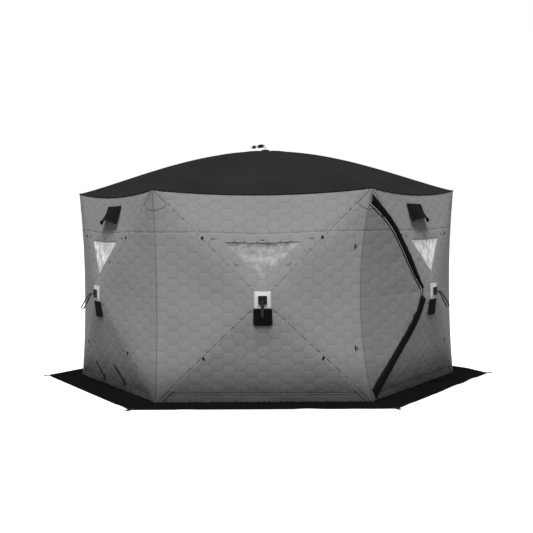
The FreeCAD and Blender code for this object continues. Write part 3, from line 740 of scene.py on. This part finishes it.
def make_door(net, place):
    """The door is the cloth inside the zip's line. It stays sewn to the corner seam."""
    def chosen(across, up):
        return facet_of(across, up) == "left" and in_door(across, up)

    piece, size, area = sheet_object("door_cloth", net, place, "door", chosen=chosen)
    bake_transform(piece, "door_surround", "door", start=wall_point(DOOR_WALL, -0.955, 0.87, 0),
             end=wall_point(DOOR_WALL, -0.78, 0.87, 0))
    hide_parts("door_panel")
    declare(piece)


def roof_height(share):
    return EAVE + (ROOF_PEAK - EAVE) * max(math.cos(share * math.pi / 2), 0) ** ROOF_ROUNDNESS


def roof_point(wall, across, inwards, lift):
    """A place on one roof sector. inwards is the level distance in from the eave."""
    normal, along = wall_axes(wall)
    share = max(1 - inwards / APOTHEM, 0.001)
    side = min(abs(across) / (HALF * share), 1.0)
    hang = (1 - side * side) * (EAVE_SAG * share ** 3 + ROOF_SAG * math.sin(math.pi * share))
    calm = smooth((1 - side) / 0.10) * smooth((1 - share) / 0.06) * smooth(share / 0.1)
    seed = WALLS[wall] * 0.31 + 2
    slack = calm * (0.006 * noise.noise(Vector((across * 2.5, inwards * 2.2, seed)))
                    + 0.0018 * noise.noise(Vector((across * 9, inwards * 7, seed))))
    point = normal * (APOTHEM - inwards) + along * across
    return point + UP * (roof_height(share) - hang + slack + lift * calm * ROOF_QUILT)


def make_roof():
    for number, wall in enumerate(WALLS):
        net = hexagon_net(2 * HALF, APOTHEM)
        hole = APOTHEM - HUB_HOLE
        tip = HUB_HOLE * math.tan(math.radians(30))
        cut_outline(net, [(-HALF, 0), (HALF, 0), (tip, hole), (-tip, hole)])

        def place(across, inwards, lift, stitch, wall=wall):
            return roof_point(wall, across, inwards, lift), stitch * 0.6

        piece, size, area = sheet_object(f"{wall}_roof_cloth", net, place, "roof")
        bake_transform(piece, "root", "roof_hub", start=wall_point(wall, 0, EAVE, 0), end=UP * EAVE)
        declare(piece)
        if number == 0:
            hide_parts("roof_cover")
        net.free()


# What is sewn on the walls.

STITCH_INSET = 0.005          # from a piece's edge to its line of stitches


def inset_line(first, second, inset):
    """A line moved to the left of its own direction, into a counter-clockwise outline."""
    run = Vector((second[0] - first[0], second[1] - first[1])).normalized()
    left = Vector((-run.y, run.x)) * inset
    return (first[0] + left.x, first[1] + left.y), (second[0] + left.x, second[1] + left.y)


def sewn_net(outlines, step=0.012, opening=None):
    """Convex outlines of plain cloth laid flat, with a stitch line just inside each edge."""
    points, faces, stitches = [], [], []
    for outline in outlines:
        low = (min(p[0] for p in outline), min(p[1] for p in outline))
        high = (max(p[0] for p in outline), max(p[1] for p in outline))
        part = grid_net(low, high, step)
        cut_outline(part, outline)
        if opening:
            for first, second in sides_of(opening):
                cut(part, first, second)
        lines = [inset_line(first, second, STITCH_INSET) for first, second in sides_of(outline)]
        for first, second in lines:
            cut(part, first, second)
        part.verts.index_update()
        start = len(points)
        for vertex in part.verts:
            spot = Vector((vertex.co.x, vertex.co.y))
            reach = min(distance_left(spot, *line) for line in lines)
            points.append(spot)
            stitches.append(1.0 if abs(reach) < 0.0004 else 0.0)
        faces += [[start + vertex.index for vertex in face.verts] for face in part.faces]
        part.free()
    return as_bmesh(points, faces, [0.0] * len(points), stitches)


def distance_left(spot, first, second):
    run = Vector((second[0] - first[0], second[1] - first[1])).normalized()
    return run.x * (spot.y - first[1]) - run.y * (spot.x - first[0])


def sew_on(name, wall, outlines, lift, material, slot, thickness=0.0015, step=0.012, opening=None):
    """One piece made of shapes that lie on a wall's cloth."""
    net = sewn_net(outlines, step, opening=opening)

    def place(across, up, _lift, stitch):
        return cloth_point(wall, across, up, lift), stitch

    def chosen(across, up):
        return not (opening and in_hub_hole(across, up))

    made = sheet_object(name, net, place, material, thickness, chosen)
    net.free()
    return made


def sew_strips(name, wall, facet, outlines, width, *how):
    """Shapes in one piece that bends with a face of the wall. The width is not used."""
    piece, _, area = sew_on(name, wall, outlines, *how)
    follow_wall(piece, wall, facet)
    return declare(piece)


def box_outline(across, up, width, height, turn=0.0):
    """A rectangle's corners, counter-clockwise."""
    angle = math.radians(turn)
    first = Vector((math.cos(angle), math.sin(angle))) * (width / 2)
    second = Vector((-math.sin(angle), math.cos(angle))) * (height / 2)
    centre = Vector((across, up))
    return [tuple(centre + first * x + second * y) for x, y in ((-1, -1), (1, -1), (1, 1), (-1, 1))]


def wall_corner(across_sign, up_sign):
    return Vector((across_sign * HALF, WALL_HEIGHT if up_sign > 0 else 0))


def fan_outline(across_sign, up_sign):
    """The reinforcement in a wall's corner, between the corner seam and the crease."""
    corner = wall_corner(across_sign, up_sign)
    crease_way = HUB_SPOT - corner
    first = math.atan2(-up_sign, 0)
    turn = math.atan2(crease_way.y, crease_way.x) - first
    turn = (turn + math.pi) % (2 * math.pi) - math.pi
    rim = []
    for step in range(FAN_STEPS + 1):
        angle = first + turn * step / FAN_STEPS
        rim.append(corner + Vector((math.cos(angle), math.sin(angle))) * FAN_RADIUS)
    outline = [tuple(corner)] + [tuple(spot) for spot in rim]
    return outline if turn > 0 else outline[::-1]


def pole_strip(across_sign, up_sign):
    """The strip over a pole's end pocket, along the top or bottom face's side of the crease."""
    corner = wall_corner(across_sign, up_sign)
    way = (HUB_SPOT - corner).normalized()
    side = Vector((-way.y, way.x))
    if side.x * across_sign > 0:
        side = -side
    start, end = corner + way * STRIP_START, corner + way * STRIP_END
    near, far = side * STRIP_EDGE, side * (STRIP_EDGE + STRIP_WIDTH)
    outline = [tuple(start + near), tuple(start + far), tuple(end + far), tuple(end + near)]
    turn = (outline[1][0] - outline[0][0]) * (outline[2][1] - outline[1][1]) - (
        outline[1][1] - outline[0][1]) * (outline[2][0] - outline[1][0])
    return outline if turn > 0 else outline[::-1]


def crease_tab(across_sign, up_sign):
    """A small tab beside the crease, which ties the pole to the cloth."""
    corner = wall_corner(across_sign, up_sign)
    spot = HUB_SPOT + (corner - HUB_SPOT) * TAB_SHARE
    spot.x -= across_sign * TAB_SIZE * 0.8
    return box_outline(spot.x, spot.y, TAB_SIZE, TAB_SIZE * 1.3, 20 * across_sign * up_sign)


FAN_RADIUS = 0.170
FAN_STEPS = 7
STRIP_START, STRIP_END, STRIP_WIDTH, STRIP_EDGE = 0.030, 0.185, 0.024, 0.004
TAB_SHARE, TAB_SIZE = 0.56, 0.017
WINDOW_BOX = (0.036, 0.018)
WINDOW_BOXES = ((-0.40, 1.375, 0), (0.0, 1.375, 0), (0.40, 1.375, 0), (-0.215, 1.165, -44),
                (0.215, 1.165, 44))
PATCH_HALF = 0.070
FLAP_HALF, FLAP_TOP, FLAP_LOW, FLAP_ROUND = 0.079, 0.074, 0.212, 0.018


def make_wall_details(wall):
    """Reinforcements, strips, tabs, patch and flap: each group but the patch bends with the face that it is
    sewn to.
    """
    for side, sign in (("left", -1), ("right", 1)):
        fans = [fan_outline(sign, 1), fan_outline(sign, -1)]
        piece, _, area = sew_on(f"{wall}_{side}_corner_patches", wall, fans, LIFTS["fan"], "wall",
                                "wall_cloth")
        follow_wall(piece, wall, side)
        declare(piece)
    for facet, sign in (("top", 1), ("bottom", -1)):
        strips = [pole_strip(-1, sign), pole_strip(1, sign)]
        if facet == "top":
            strips += [box_outline(across, up, *WINDOW_BOX, turn) for across, up, turn in WINDOW_BOXES]
        sew_strips(f"{wall}_{facet}_strips", wall, facet, strips, STRIP_WIDTH,
                   LIFTS["strip"], "wall", "wall_cloth", 0.0015, 0.008)
        tabs = [crease_tab(-1, sign), crease_tab(1, sign)]
        sew_strips(f"{wall}_{facet}_tabs", wall, facet, tabs, TAB_SIZE,
                   LIFTS["tab"], "black", "black_cloth", 0.003, 0.005)
    make_hub_patch(wall)
    make_hub_flap(wall)


def make_hub_patch(wall):
    hole = box_outline(0, HUB_HEIGHT, 2 * HUB_HOLE, 2 * HUB_HOLE)
    patch = box_outline(0, HUB_HEIGHT, 2 * PATCH_HALF, 2 * PATCH_HALF)
    piece, size, area = sew_on(f"{wall}_hub_patch", wall, [patch], LIFTS["patch"], "patch", "patch_cloth",
                               opening=hole)
    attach(piece, "root")
    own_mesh(piece)
    declare(piece)
    if wall == "front":
        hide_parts("hub_patches")


def make_hub_flap(wall):
    """The black flap below the hub hangs a little off the cloth, with a rounded lower edge."""
    top, low = HUB_HEIGHT - FLAP_TOP, HUB_HEIGHT - FLAP_LOW
    outline = [(-FLAP_HALF * 0.8, low), (FLAP_HALF * 0.8, low), (FLAP_HALF, low + FLAP_ROUND),
               (FLAP_HALF * 0.95, top), (-FLAP_HALF * 0.95, top), (-FLAP_HALF, low + FLAP_ROUND)]
    net = sewn_net([outline], 0.008)

    def place(across, up, _lift, stitch):
        drop = (top - up) / (top - low)
        ripple = noise.noise(Vector((across * 28, up * 9, WALLS[wall])))
        curl = LIFTS["hub flap"] + 0.010 * drop * drop + 0.004 * drop * ripple
        return cloth_point(wall, across, up, curl), stitch

    piece, size, area = sheet_object(f"{wall}_hub_flap", net, place, "black", 0.002)
    net.free()
    follow_wall(piece, wall, "bottom")
    declare(piece)


# The windows.

WINDOW_LAP = 0.014
WINDOW_COVER_GAP = 0.024
COVER_LAP = 0.040             # how far the cover reaches behind the wall's cloth


def make_window(wall):
    """A clear sheet sewn behind the opening, creased where it is stretched."""
    outline = [(0, WINDOW_APEX - 1.5 * WINDOW_LAP), (WINDOW_HALF + 2 * WINDOW_LAP, WINDOW_TOP + WINDOW_LAP),
               (-WINDOW_HALF - 2 * WINDOW_LAP, WINDOW_TOP + WINDOW_LAP)]
    net = grid_net((-WINDOW_HALF - 0.03, WINDOW_APEX - 0.03), (WINDOW_HALF + 0.03, WINDOW_TOP + WINDOW_LAP),
                   0.006)
    cut_outline(net, outline)
    seed = WALLS[wall] * 0.7

    def place(across, up, _lift, _stitch):
        inside = min(WINDOW_TOP - up, window_rise(up) * WINDOW_HALF - abs(across))
        free = smooth(inside / 0.05)
        spread = across / max(up - WINDOW_APEX + 0.12, 0.05)
        folds = noise.noise(Vector((spread * 11, up * 3, seed))) + 0.5 * noise.noise(
            Vector((spread * 26 + up * 5, up * 9, seed + 3)))
        return cloth_point(wall, across, up, -0.0042 + free * 0.010 * folds - 0.004 * free), 0.0

    material = "clear_vinyl" if wall == "front" else "vinyl"
    piece, size, area = sheet_object(f"{wall}_window", net, place, material, SHEET)
    net.free()
    follow_wall(piece, wall, "top")
    declare(piece)
    if wall == "front":
        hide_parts("window_panes")
        make_window_cover(wall)


def make_window_cover(wall):
    """The quilted cover that closes this window from inside."""
    net = wall_net(wall)

    def place(across, up, lift, stitch):
        return cloth_point(wall, across, up, lift - WINDOW_COVER_GAP), stitch

    def chosen(across, up):
        return up < WINDOW_TOP + COVER_LAP and abs(across) < window_rise(up) * WINDOW_HALF + COVER_LAP

    piece, size, area = sheet_object(f"{wall}_window_cover", net, place, "wall", chosen=chosen)
    net.free()
    follow_wall(piece, wall, "top")
    declare(piece)


# The vents.

HOOD_UP, HOOD_LENGTH, HOOD_ARCH = 1.680, 0.180, 0.060
HOOD_TOP_HALF, HOOD_LOW_HALF, HOOD_STAND = 0.150, 0.165, 0.024
HOOD_COLUMNS, HOOD_ROWS = 40, 18


def make_vent(wall):
    side, centre = VENTS[wall]
    make_hood(wall, side, centre)
    reach = VENT_HALF + WINDOW_LAP
    net = grid_net((centre - reach, VENT_LOW - WINDOW_LAP), (centre + reach, VENT_HIGH + WINDOW_LAP), 0.01)

    def place(across, up, _lift, _stitch):
        inside = min(reach - abs(across - centre), up - VENT_LOW + WINDOW_LAP, VENT_HIGH + WINDOW_LAP - up)
        return cloth_point(wall, across, up, -0.0045 - 0.004 * smooth(inside / 0.05)), 0.0

    piece, size, area = sheet_object(f"{side}_mesh_sheet", net, place, "mesh", SHEET)
    net.free()
    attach(piece, f"{side}_mesh")
    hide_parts(f"{side}_mesh")
    declare(piece)


def make_hood(wall, side, centre):
    """A stiffened visor: straight where it is sewn on, and arched away from the wall at its free edge."""
    points = []
    for row in range(HOOD_ROWS + 1):
        down = row / HOOD_ROWS
        half = HOOD_TOP_HALF + (HOOD_LOW_HALF - HOOD_TOP_HALF) * down
        for column in range(HOOD_COLUMNS + 1):
            side_share = 2 * column / HOOD_COLUMNS - 1
            arch = max(1 - side_share * side_share, 0) ** 0.55
            out = 0.005 + (HOOD_STAND + HOOD_ARCH * arch) * down ** 1.1
            drop = HOOD_LENGTH * down * (1 - 0.24 * arch * down)
            across, up = centre + half * side_share, HOOD_UP - drop
            points.append(cloth_point(wall, across, up, out))
    faces = grid_faces(HOOD_ROWS, HOOD_COLUMNS)
    piece = mesh_object(f"{side}_hood_cloth", points, faces, "black")
    thicken(piece, CLOTH)
    declare(piece)
    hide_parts(f"{side}_hood")
    rim = points[-(HOOD_COLUMNS + 1):]
    ends = [points[row * (HOOD_COLUMNS + 1)] for row in range(HOOD_ROWS + 1)]
    other = [points[row * (HOOD_COLUMNS + 1) + HOOD_COLUMNS] for row in range(HOOD_ROWS + 1)]
    binding = tube_object(f"{side}_hood_binding", [ends, rim, other], 0.0035, "webbing")
    for part in (piece, binding):
        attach(part, f"{side}_hood")


# Tubes.

def tube_parts(route, radii, points, faces, sides=8):
    """Adds a closed tube along a route to the lists, with its radius at each point."""
    start = len(points)
    count = len(route)
    for number, spot in enumerate(route):
        before, after = route[max(number - 1, 0)], route[min(number + 1, count - 1)]
        way = (after - before).normalized()
        first = way.cross(UP if abs(way.z) < 0.9 else Vector((1, 0, 0))).normalized()
        second = way.cross(first)
        size = radii[number]
        for side in range(sides):
            angle = 2 * math.pi * side / sides
            points.append(spot + first * math.cos(angle) * size + second * math.sin(angle) * size)
    for number in range(count - 1):
        for side in range(sides):
            after = (side + 1) % sides
            low, high = start + number * sides, start + (number + 1) * sides
            faces.append((low + side, low + after, high + after, high + side))
    faces.append([start + side for side in range(sides)][::-1])
    faces.append([start + (count - 1) * sides + side for side in range(sides)])


def tube_object(name, routes, radius, material):
    points, faces = [], []
    for route in routes:
        tube_parts(route, [radius] * len(route), points, faces)
    return mesh_object(name, points, faces, material)


# The door's zip.

ZIP_STEPS = 12
TOOTH = (0.0042, 0.0075, 0.0026)
TOOTH_PITCH = 0.0062
# Where each band's two edges are beside the zip's line. A positive place is outside the door.
TAPE, UPPER_FLAP, LOWER_FLAP = (-0.009, 0.020), (0.007, 0.063), (-0.008, 0.064)


def spline(corners, steps=ZIP_STEPS):
    """A smooth line through the corners."""
    line = []
    spots = [Vector(corner) for corner in corners]
    spots = [spots[0] * 2 - spots[1]] + spots + [spots[-1] * 2 - spots[-2]]
    for number in range(1, len(spots) - 2):
        a, b, c, d = spots[number - 1:number + 3]
        for step in range(steps):
            t = step / steps
            line.append(0.5 * (2 * b + (c - a) * t + (2 * a - 5 * b + 4 * c - d) * t * t
                               + (3 * b - 3 * c + d - a) * t ** 3))
    line.append(spots[-2])
    return line


def edge_way(line, number):
    """The direction of the line here, and the direction away from the door."""
    way = (line[min(number + 1, len(line) - 1)] - line[max(number - 1, 0)]).normalized()
    return way, Vector((-way.y, way.x))


def make_band(name, line, near, far, lift, material, slot, thickness, wave=0.0, bulge=0.0, slant=0.0,
              taper=0.0):
    """A strip of cloth along a line on the door wall, from near to far beside it. Its end at the corner seam,
    which is the first end with a positive slant and the last with a negative one, is cut along the seam. Its
    last end is narrower by the taper."""
    columns = 6
    points = []
    for number, spot in enumerate(line):
        way, away = edge_way(line, number)
        run = number / (len(line) - 1)
        cut_back = way * slant * (1 - smooth((run if slant > 0 else 1 - run) / 0.15))
        ends = smooth(run / 0.06) * smooth((1 - run) / 0.06)
        sway = wave * noise.noise(Vector((number * 0.31, 3.1, near * 9))) * ends
        width = (far - near) * (1 - taper * smooth((run - 0.65) / 0.35))
        for column in range(columns + 1):
            share = column / columns
            place = spot + away * (near + width * share + sway) - cut_back * share
            rise = bulge * math.sin(math.pi * share) + wave * 0.5 * noise.noise(
                Vector((number * 0.45, share * 2, 7.7))) * ends
            points.append(cloth_point(DOOR_WALL, place.x, place.y, lift + rise))
    faces = [face[::-1] for face in grid_faces(len(line) - 1, columns)]
    piece = mesh_object(name, points, faces, material)
    thicken(piece, thickness, 0)
    declare(piece)
    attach(piece, "door_surround")
    return piece


def make_teeth(name, line, lift):
    """The zip's teeth, in two rows that mesh."""
    points, faces = [], []
    length, half = TOOTH[1] * 0.8, TOOTH[0] / 2
    passed, row = 0.0, 1
    for number in range(len(line) - 1):
        a, b = line[number], line[number + 1]
        run = (b - a).length
        way, away = edge_way(line, number)
        while passed < run:
            spot = a + (b - a) * (passed / run) + away * (row * length * 0.28)
            start = len(points)
            for rise in (lift, lift + TOOTH[2]):
                for x, y in ((-1, -1), (1, -1), (1, 1), (-1, 1)):
                    taper = 1.0 if rise == lift else 0.75
                    place = spot + way * (x * half * taper) + away * (y * length / 2 * taper)
                    points.append(cloth_point(DOOR_WALL, place.x, place.y, rise))
            faces += [[start + 3, start + 2, start + 1, start], [start + n for n in (4, 5, 6, 7)]]
            for n in range(4):
                after = (n + 1) % 4
                faces.append([start + n, start + after, start + 4 + after, start + 4 + n])
            row = -row
            passed += TOOTH_PITCH / 2
        passed -= run
    piece = mesh_object(name, points, faces, "zip", smooth_shaded=False)
    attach(piece, "door_surround")


def make_zip():
    upper = spline([(-0.896, 1.642)] + DOOR_LINE[1:5])
    lower = spline(DOOR_LINE[5:7] + [(-0.600, 0.376), (-0.886, 0.100)])
    nose = spline([DOOR_LINE[4], (-0.196, 0.870), DOOR_LINE[5]], 6)
    tape = make_band("zip_tape", upper + nose[1:] + lower[1:], *TAPE, LIFTS["tape"], "webbing", "webbing",
                     0.0016)
    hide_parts("door_zip_track")
    make_teeth("upper_zip_teeth", upper, LIFTS["teeth"])
    make_teeth("nose_zip_teeth", nose, LIFTS["teeth"])
    make_band("upper_storm_flap", upper, *UPPER_FLAP, LIFTS["storm flap"], "black", "black_cloth",
              BLACK_CLOTH, wave=0.009, bulge=0.008, slant=0.050, taper=0.55)
    make_band("lower_storm_flap", lower, *LOWER_FLAP, LIFTS["storm flap"], "black", "black_cloth",
              BLACK_CLOTH, wave=0.003, bulge=0.005, slant=-0.040)


# Toggles, base straps, bindings, skirt and tabs.

TOGGLE_ACROSS, TOGGLE_UPS, TOGGLE_HALF = 0.807, (0.461, 1.296), 0.019
TOGGLE_RADII = (0.0030, 0.0052, 0.0050, 0.0042, 0.0040, 0.0042, 0.0050, 0.0052, 0.0030)
TOGGLE_CORD = 0.0018
BASE_STRAPS = ((-0.364, 0.208, -0.210, 0.068), (0.114, 0.231, 0.297, 0.084))
SKIRT_STEPS = 36
SKIRT_ROWS = 8


def make_toggles():
    """Two toggles with a cord loop, on the front wall beside the door, which hold the open door back."""
    points, faces = [], []
    for up in TOGGLE_UPS:
        route = []
        for step in range(len(TOGGLE_RADII)):
            share = step / 4 - 1
            route.append(cloth_point("front", TOGGLE_ACROSS, up + TOGGLE_HALF * share, 0.012))
        tube_parts(route, TOGGLE_RADII, points, faces, 12)
        loop = []
        for step in range(13):
            angle = math.pi * step / 12
            loop.append(cloth_point("front", TOGGLE_ACROSS + 0.030 * math.sin(angle) ** 0.8,
                                    up + 0.007 * math.cos(angle), 0.009))
        tube_parts(loop, [TOGGLE_CORD] * len(loop), points, faces)
    piece = mesh_object("door_toggles", points, faces, "plastic")
    follow_wall(piece, "front", "right")
    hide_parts("door_tiebacks")


def make_base_straps():
    """Slanted webbing straps on pale patches, near the foot of the front left wall."""
    straps, patches = [], []
    for x0, y0, x1, y1 in BASE_STRAPS:
        run = math.hypot(x1 - x0, y1 - y0)
        turn = math.degrees(math.atan2(y1 - y0, x1 - x0))
        centre = ((x0 + x1) / 2, (y0 + y1) / 2)
        straps.append(box_outline(*centre, run, STRAP_WIDTH, turn))
        patches.append(box_outline(*centre, run * 0.72, 0.105, turn))
    wall = "front_left"
    sew_strips("base_patches", wall, "bottom", patches, 0.10,
               LIFTS["base patch"], "wall", "wall_cloth", 0.0018, 0.008)
    piece = sew_strips("base_straps", wall, "bottom", straps, STRAP_WIDTH,
                       LIFTS["base strap"], "webbing", "webbing", 0.0018, 0.008)
    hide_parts("webbing_tabs")


def make_bindings():
    """The bound seams: up each corner, along the eave and round the hem."""
    seams, eaves, hems = [], [], []
    for wall in WALLS:
        ups = [WALL_HEIGHT * step / 40 for step in range(41)]
        seams.append([wall_point(wall, HALF, up, 0) + seam_shift(wall, 1, up) for up in ups])
        edge = [-HALF + 2 * HALF * step / 40 for step in range(41)]
        eaves.append([wall_point(wall, across, EAVE - EAVE_SAG * (1 - (across / HALF) ** 2) - 0.002, 0.001)
                      for across in edge])
        hems.append([wall_point(wall, across, 0.006, 0.001) for across in edge])
    seam = tube_object("corner_seam_bindings", seams, 0.0030, "seam")
    eave = tube_object("eave_binding", eaves, 0.0065, "roof")
    hem = tube_object("hem_binding", hems, 0.0055, "skirt")
    for piece in (seam, eave, hem):
        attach(piece, "root")


def make_skirt():
    """A loose band of cloth on the ice, mitred at the corners, with a turned hem."""
    points, faces = [], []
    spread = math.tan(math.radians(30))
    for wall in WALLS:
        start = len(points)
        for row in range(SKIRT_ROWS + 1):
            share = row / SKIRT_ROWS
            out = -0.002 + (SKIRT_WIDTH + 0.002) * share
            for column in range(SKIRT_STEPS + 1):
                side = 2 * column / SKIRT_STEPS - 1
                across = side * (APOTHEM + out) * spread
                calm = smooth(share / 0.2) * smooth((1 - abs(side)) / 0.08)
                ripple = noise.noise(Vector((across * 3.2, out * 5, WALLS[wall] * 0.4)))
                rise = 0.0045 + max(ripple, 0) * 0.016 * calm + 0.004 * (1 - smooth(share / 0.15))
                points.append(wall_point(wall, across, rise, out))
        faces += grid_faces(SKIRT_ROWS, SKIRT_STEPS, start)
    piece = mesh_object("skirt_cloth", points, faces, "skirt")
    weld = piece.modifiers.new("weld", "WELD")
    weld.merge_threshold = 0.0005
    thicken(piece, BLACK_CLOTH, 1)
    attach(piece, "root")
    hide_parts("skirt")
    declare(piece)


TAB_INSIDE, TAB_OUTSIDE, TAB_HALF, TAB_HOLE = 0.060, 0.040, 0.019, 0.0078
TAB_THICKNESS = 0.0024
HOLE_SIDES = 32


def make_anchor_tabs():
    """A webbing tab on each corner of the skirt, with a hole for its eyelet."""
    corner = (APOTHEM + SKIRT_WIDTH) / math.cos(math.radians(30))
    centre = corner + 0.020
    points, faces = [], []
    for angle in range(0, 360, 60):
        way, side = bearing(angle), UP.cross(bearing(angle))
        start = len(points)
        for ring in (0.0, 0.35, 1.0):
            for step in range(HOLE_SIDES):
                turn = 2 * math.pi * step / HOLE_SIDES
                x, y = math.cos(turn), math.sin(turn)
                reach_x = (corner + TAB_OUTSIDE - centre if x > 0 else centre - corner + TAB_INSIDE) / max(
                    abs(x), 1e-6)
                reach = TAB_HOLE + (min(reach_x, TAB_HALF / max(abs(y), 1e-6)) - TAB_HOLE) * ring
                points.append(way * (centre + x * reach) + side * (y * reach) + UP * 0.0078)
        for ring in range(2):
            for step in range(HOLE_SIDES):
                after = (step + 1) % HOLE_SIDES
                low, high = start + ring * HOLE_SIDES, start + (ring + 1) * HOLE_SIDES
                faces.append((low + step, high + step, high + after, low + after))
    piece = mesh_object("anchor_tabs", points, faces, "webbing", smooth_shaded=False)
    thicken(piece, TAB_THICKNESS)
    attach(piece, "root")
    declare(piece)


# The roof hub's pull loop, as (up from the plate, to the left) along its webbing.

ROOF_PULL = ((0, -5), (22, -5), (42, 4), (46, 24), (40, 70), (33, 128), (26, 136), (19, 128), (27, 68),
             (31, 26), (22, 5), (0, 5))
STRAP_COLUMNS = 4
STRAP_THICKNESS = 0.003
STRAP_TWISTS = ((10, 78, 50), (84, 130, 38))  # from, to, and degrees at the middle


def strap_twist(along):
    """How far the webbing is turned from level, at this distance to the left."""
    for start, end, most in STRAP_TWISTS:
        if start < along < end:
            return math.radians(most) * math.sin(math.pi * (along - start) / (end - start)) ** 0.7
    return 0.0


def make_roof_strap():
    """A loop of webbing that has folded over to the left, with its two sides twisted together."""
    line = spline([(along / 1000, up / 1000) for up, along in ROOF_PULL], 8)
    points = []
    level = Vector((0, 1, 0))
    plate = ROOF_PEAK + HUB_FACE
    for number, spot in enumerate(line):
        way, _ = edge_way(line, number)
        normal = Vector((-way.x, 0, way.y)).cross(level)
        normal *= 1 if normal.z > 0 else -1
        turn = strap_twist(spot.x * 1000)
        across = level * math.cos(turn) + normal * math.sin(turn)
        for column in range(STRAP_COLUMNS + 1):
            share = column / STRAP_COLUMNS - 0.5
            points.append(Vector((-spot.x, 0, plate + spot.y)) + across * (STRAP_WIDTH * share))
    faces = grid_faces(len(line) - 1, STRAP_COLUMNS)
    piece = mesh_object("roof_pull_webbing", points, faces, "webbing")
    thicken(piece, STRAP_THICKNESS, 0)
    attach(piece, "roof_hub")
    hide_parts("roof_pull_strap")
    declare(piece)


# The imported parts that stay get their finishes.

HUB_FACE = 0.010              # the hub plate's face, outside the cloth's peak
STRAP_TOP = 0.011             # the strap's top over the hub's centre, below the bolt


def dress(node, material, bevel=0.0):
    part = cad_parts[node]
    part.data.materials.clear()
    part.data.materials.append(MATERIALS[material])
    if bevel:
        edge = part.modifiers.new("edges", "BEVEL")
        edge.width = bevel
        edge.segments = 2
        edge.limit_method = "ANGLE"
    return part


def dress_hub(wall):
    """The hub is moulded plastic, and the strap on it is webbing."""
    part = dress(f"{wall}_hub", "plastic")
    part.data.materials.append(MATERIALS["webbing"])
    normal, _ = wall_axes(wall)
    face_out = APOTHEM + HUB_BULGE + HUB_FACE
    for face in part.data.polygons:
        out = face.center.dot(normal) - face_out
        if out > 0.0001 and face.center.z < HUB_HEIGHT + STRAP_TOP:
            face.material_index = 1


def dress_packed_parts():
    for wall in WALLS:
        dress_hub(wall)
    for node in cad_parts:
        if node.endswith("_pole"):
            dress(node, "pole")
    dress("roof_hub", "plastic")
    dress("corner_pockets", "webbing")
    dress("anchor_eyelets", "eyelet", 0.0004)
    dress("upper_zip_slider", "slider", 0.0008)
    dress("lower_zip_slider", "slider", 0.0008)


for wall in WALLS:
    make_wall(wall)
    make_wall_details(wall)
    make_window(wall)
for wall in VENTS:
    make_vent(wall)
make_roof()
make_zip()
make_toggles()
make_base_straps()
make_bindings()
make_skirt()
make_anchor_tabs()
make_roof_strap()
dress_packed_parts()

# The camera, floor and lights.

def make_camera():
    data = bpy.data.cameras.new("camera")
    data.lens = 71.5
    data.sensor_width = 36.0
    camera = add_object("camera", data)
    yaw, pitch, roll = 0.0186, 0.0508, -0.0085
    turn = Matrix.Rotation(yaw, 4, "Z") @ Matrix.Rotation(math.pi / 2 - pitch, 4, "X")
    turn @= Matrix.Rotation(roll, 4, "Z")
    camera.matrix_world = Matrix.Translation((0.1925, -10.2462, 1.5748)) @ turn
    bpy.context.scene.camera = camera


def only_seen(tree, lighting):
    """Full strength for what the camera sees, and another for what lights the object."""
    path = tree.nodes.new("ShaderNodeLightPath")
    return remap(tree, path.outputs["Is Camera Ray"], target=(lighting, 1.0))


def make_floor():
    """A plain pale floor, as white as the background."""
    mesh = bpy.data.meshes.new("floor")
    reach = 60.0
    mesh.from_pydata([(-reach, -reach, 0), (reach, -reach, 0), (reach, reach, 0), (-reach, reach, 0)], [],
                     [(0, 1, 2, 3)])
    material, tree, inputs = new_material("pale_floor", {
        "Base Color": (*grey(0.30), 1), "Roughness": 0.9, "Specular IOR Level": 0.0,
        "Emission Color": (*grey(1.0), 1)})
    tree.links.new(only_seen(tree, 0.0), inputs["Emission Strength"])
    mesh.materials.append(material)
    add_object("floor", mesh)


def make_light(place, target, strength, angle):
    """One wide, soft light from the camera's side and above."""
    data = bpy.data.lights.new("key", "SUN")
    data.energy = strength
    data.angle = math.radians(angle)
    light = add_object("key", data)
    light.location = place
    light.rotation_mode = "QUATERNION"
    light.rotation_quaternion = (Vector(target) - Vector(place)).to_track_quat("-Z", "Y")


def make_world():
    """White behind everything, and a softer white for what lights the object."""
    world = bpy.data.worlds.new("world")
    bpy.context.scene.world = world
    world.use_nodes = True
    tree = world.node_tree
    inputs = tree.nodes["Background"].inputs
    inputs["Color"].default_value = (*grey(1.0), 1)
    tree.links.new(only_seen(tree, 0.40), inputs["Strength"])


make_camera()
make_floor()
make_light((-0.3, -5.73, 9.19), (0, 0, 1.0), 5.0, 32)
make_world()
bpy.context.scene.view_settings.view_transform = "Standard"
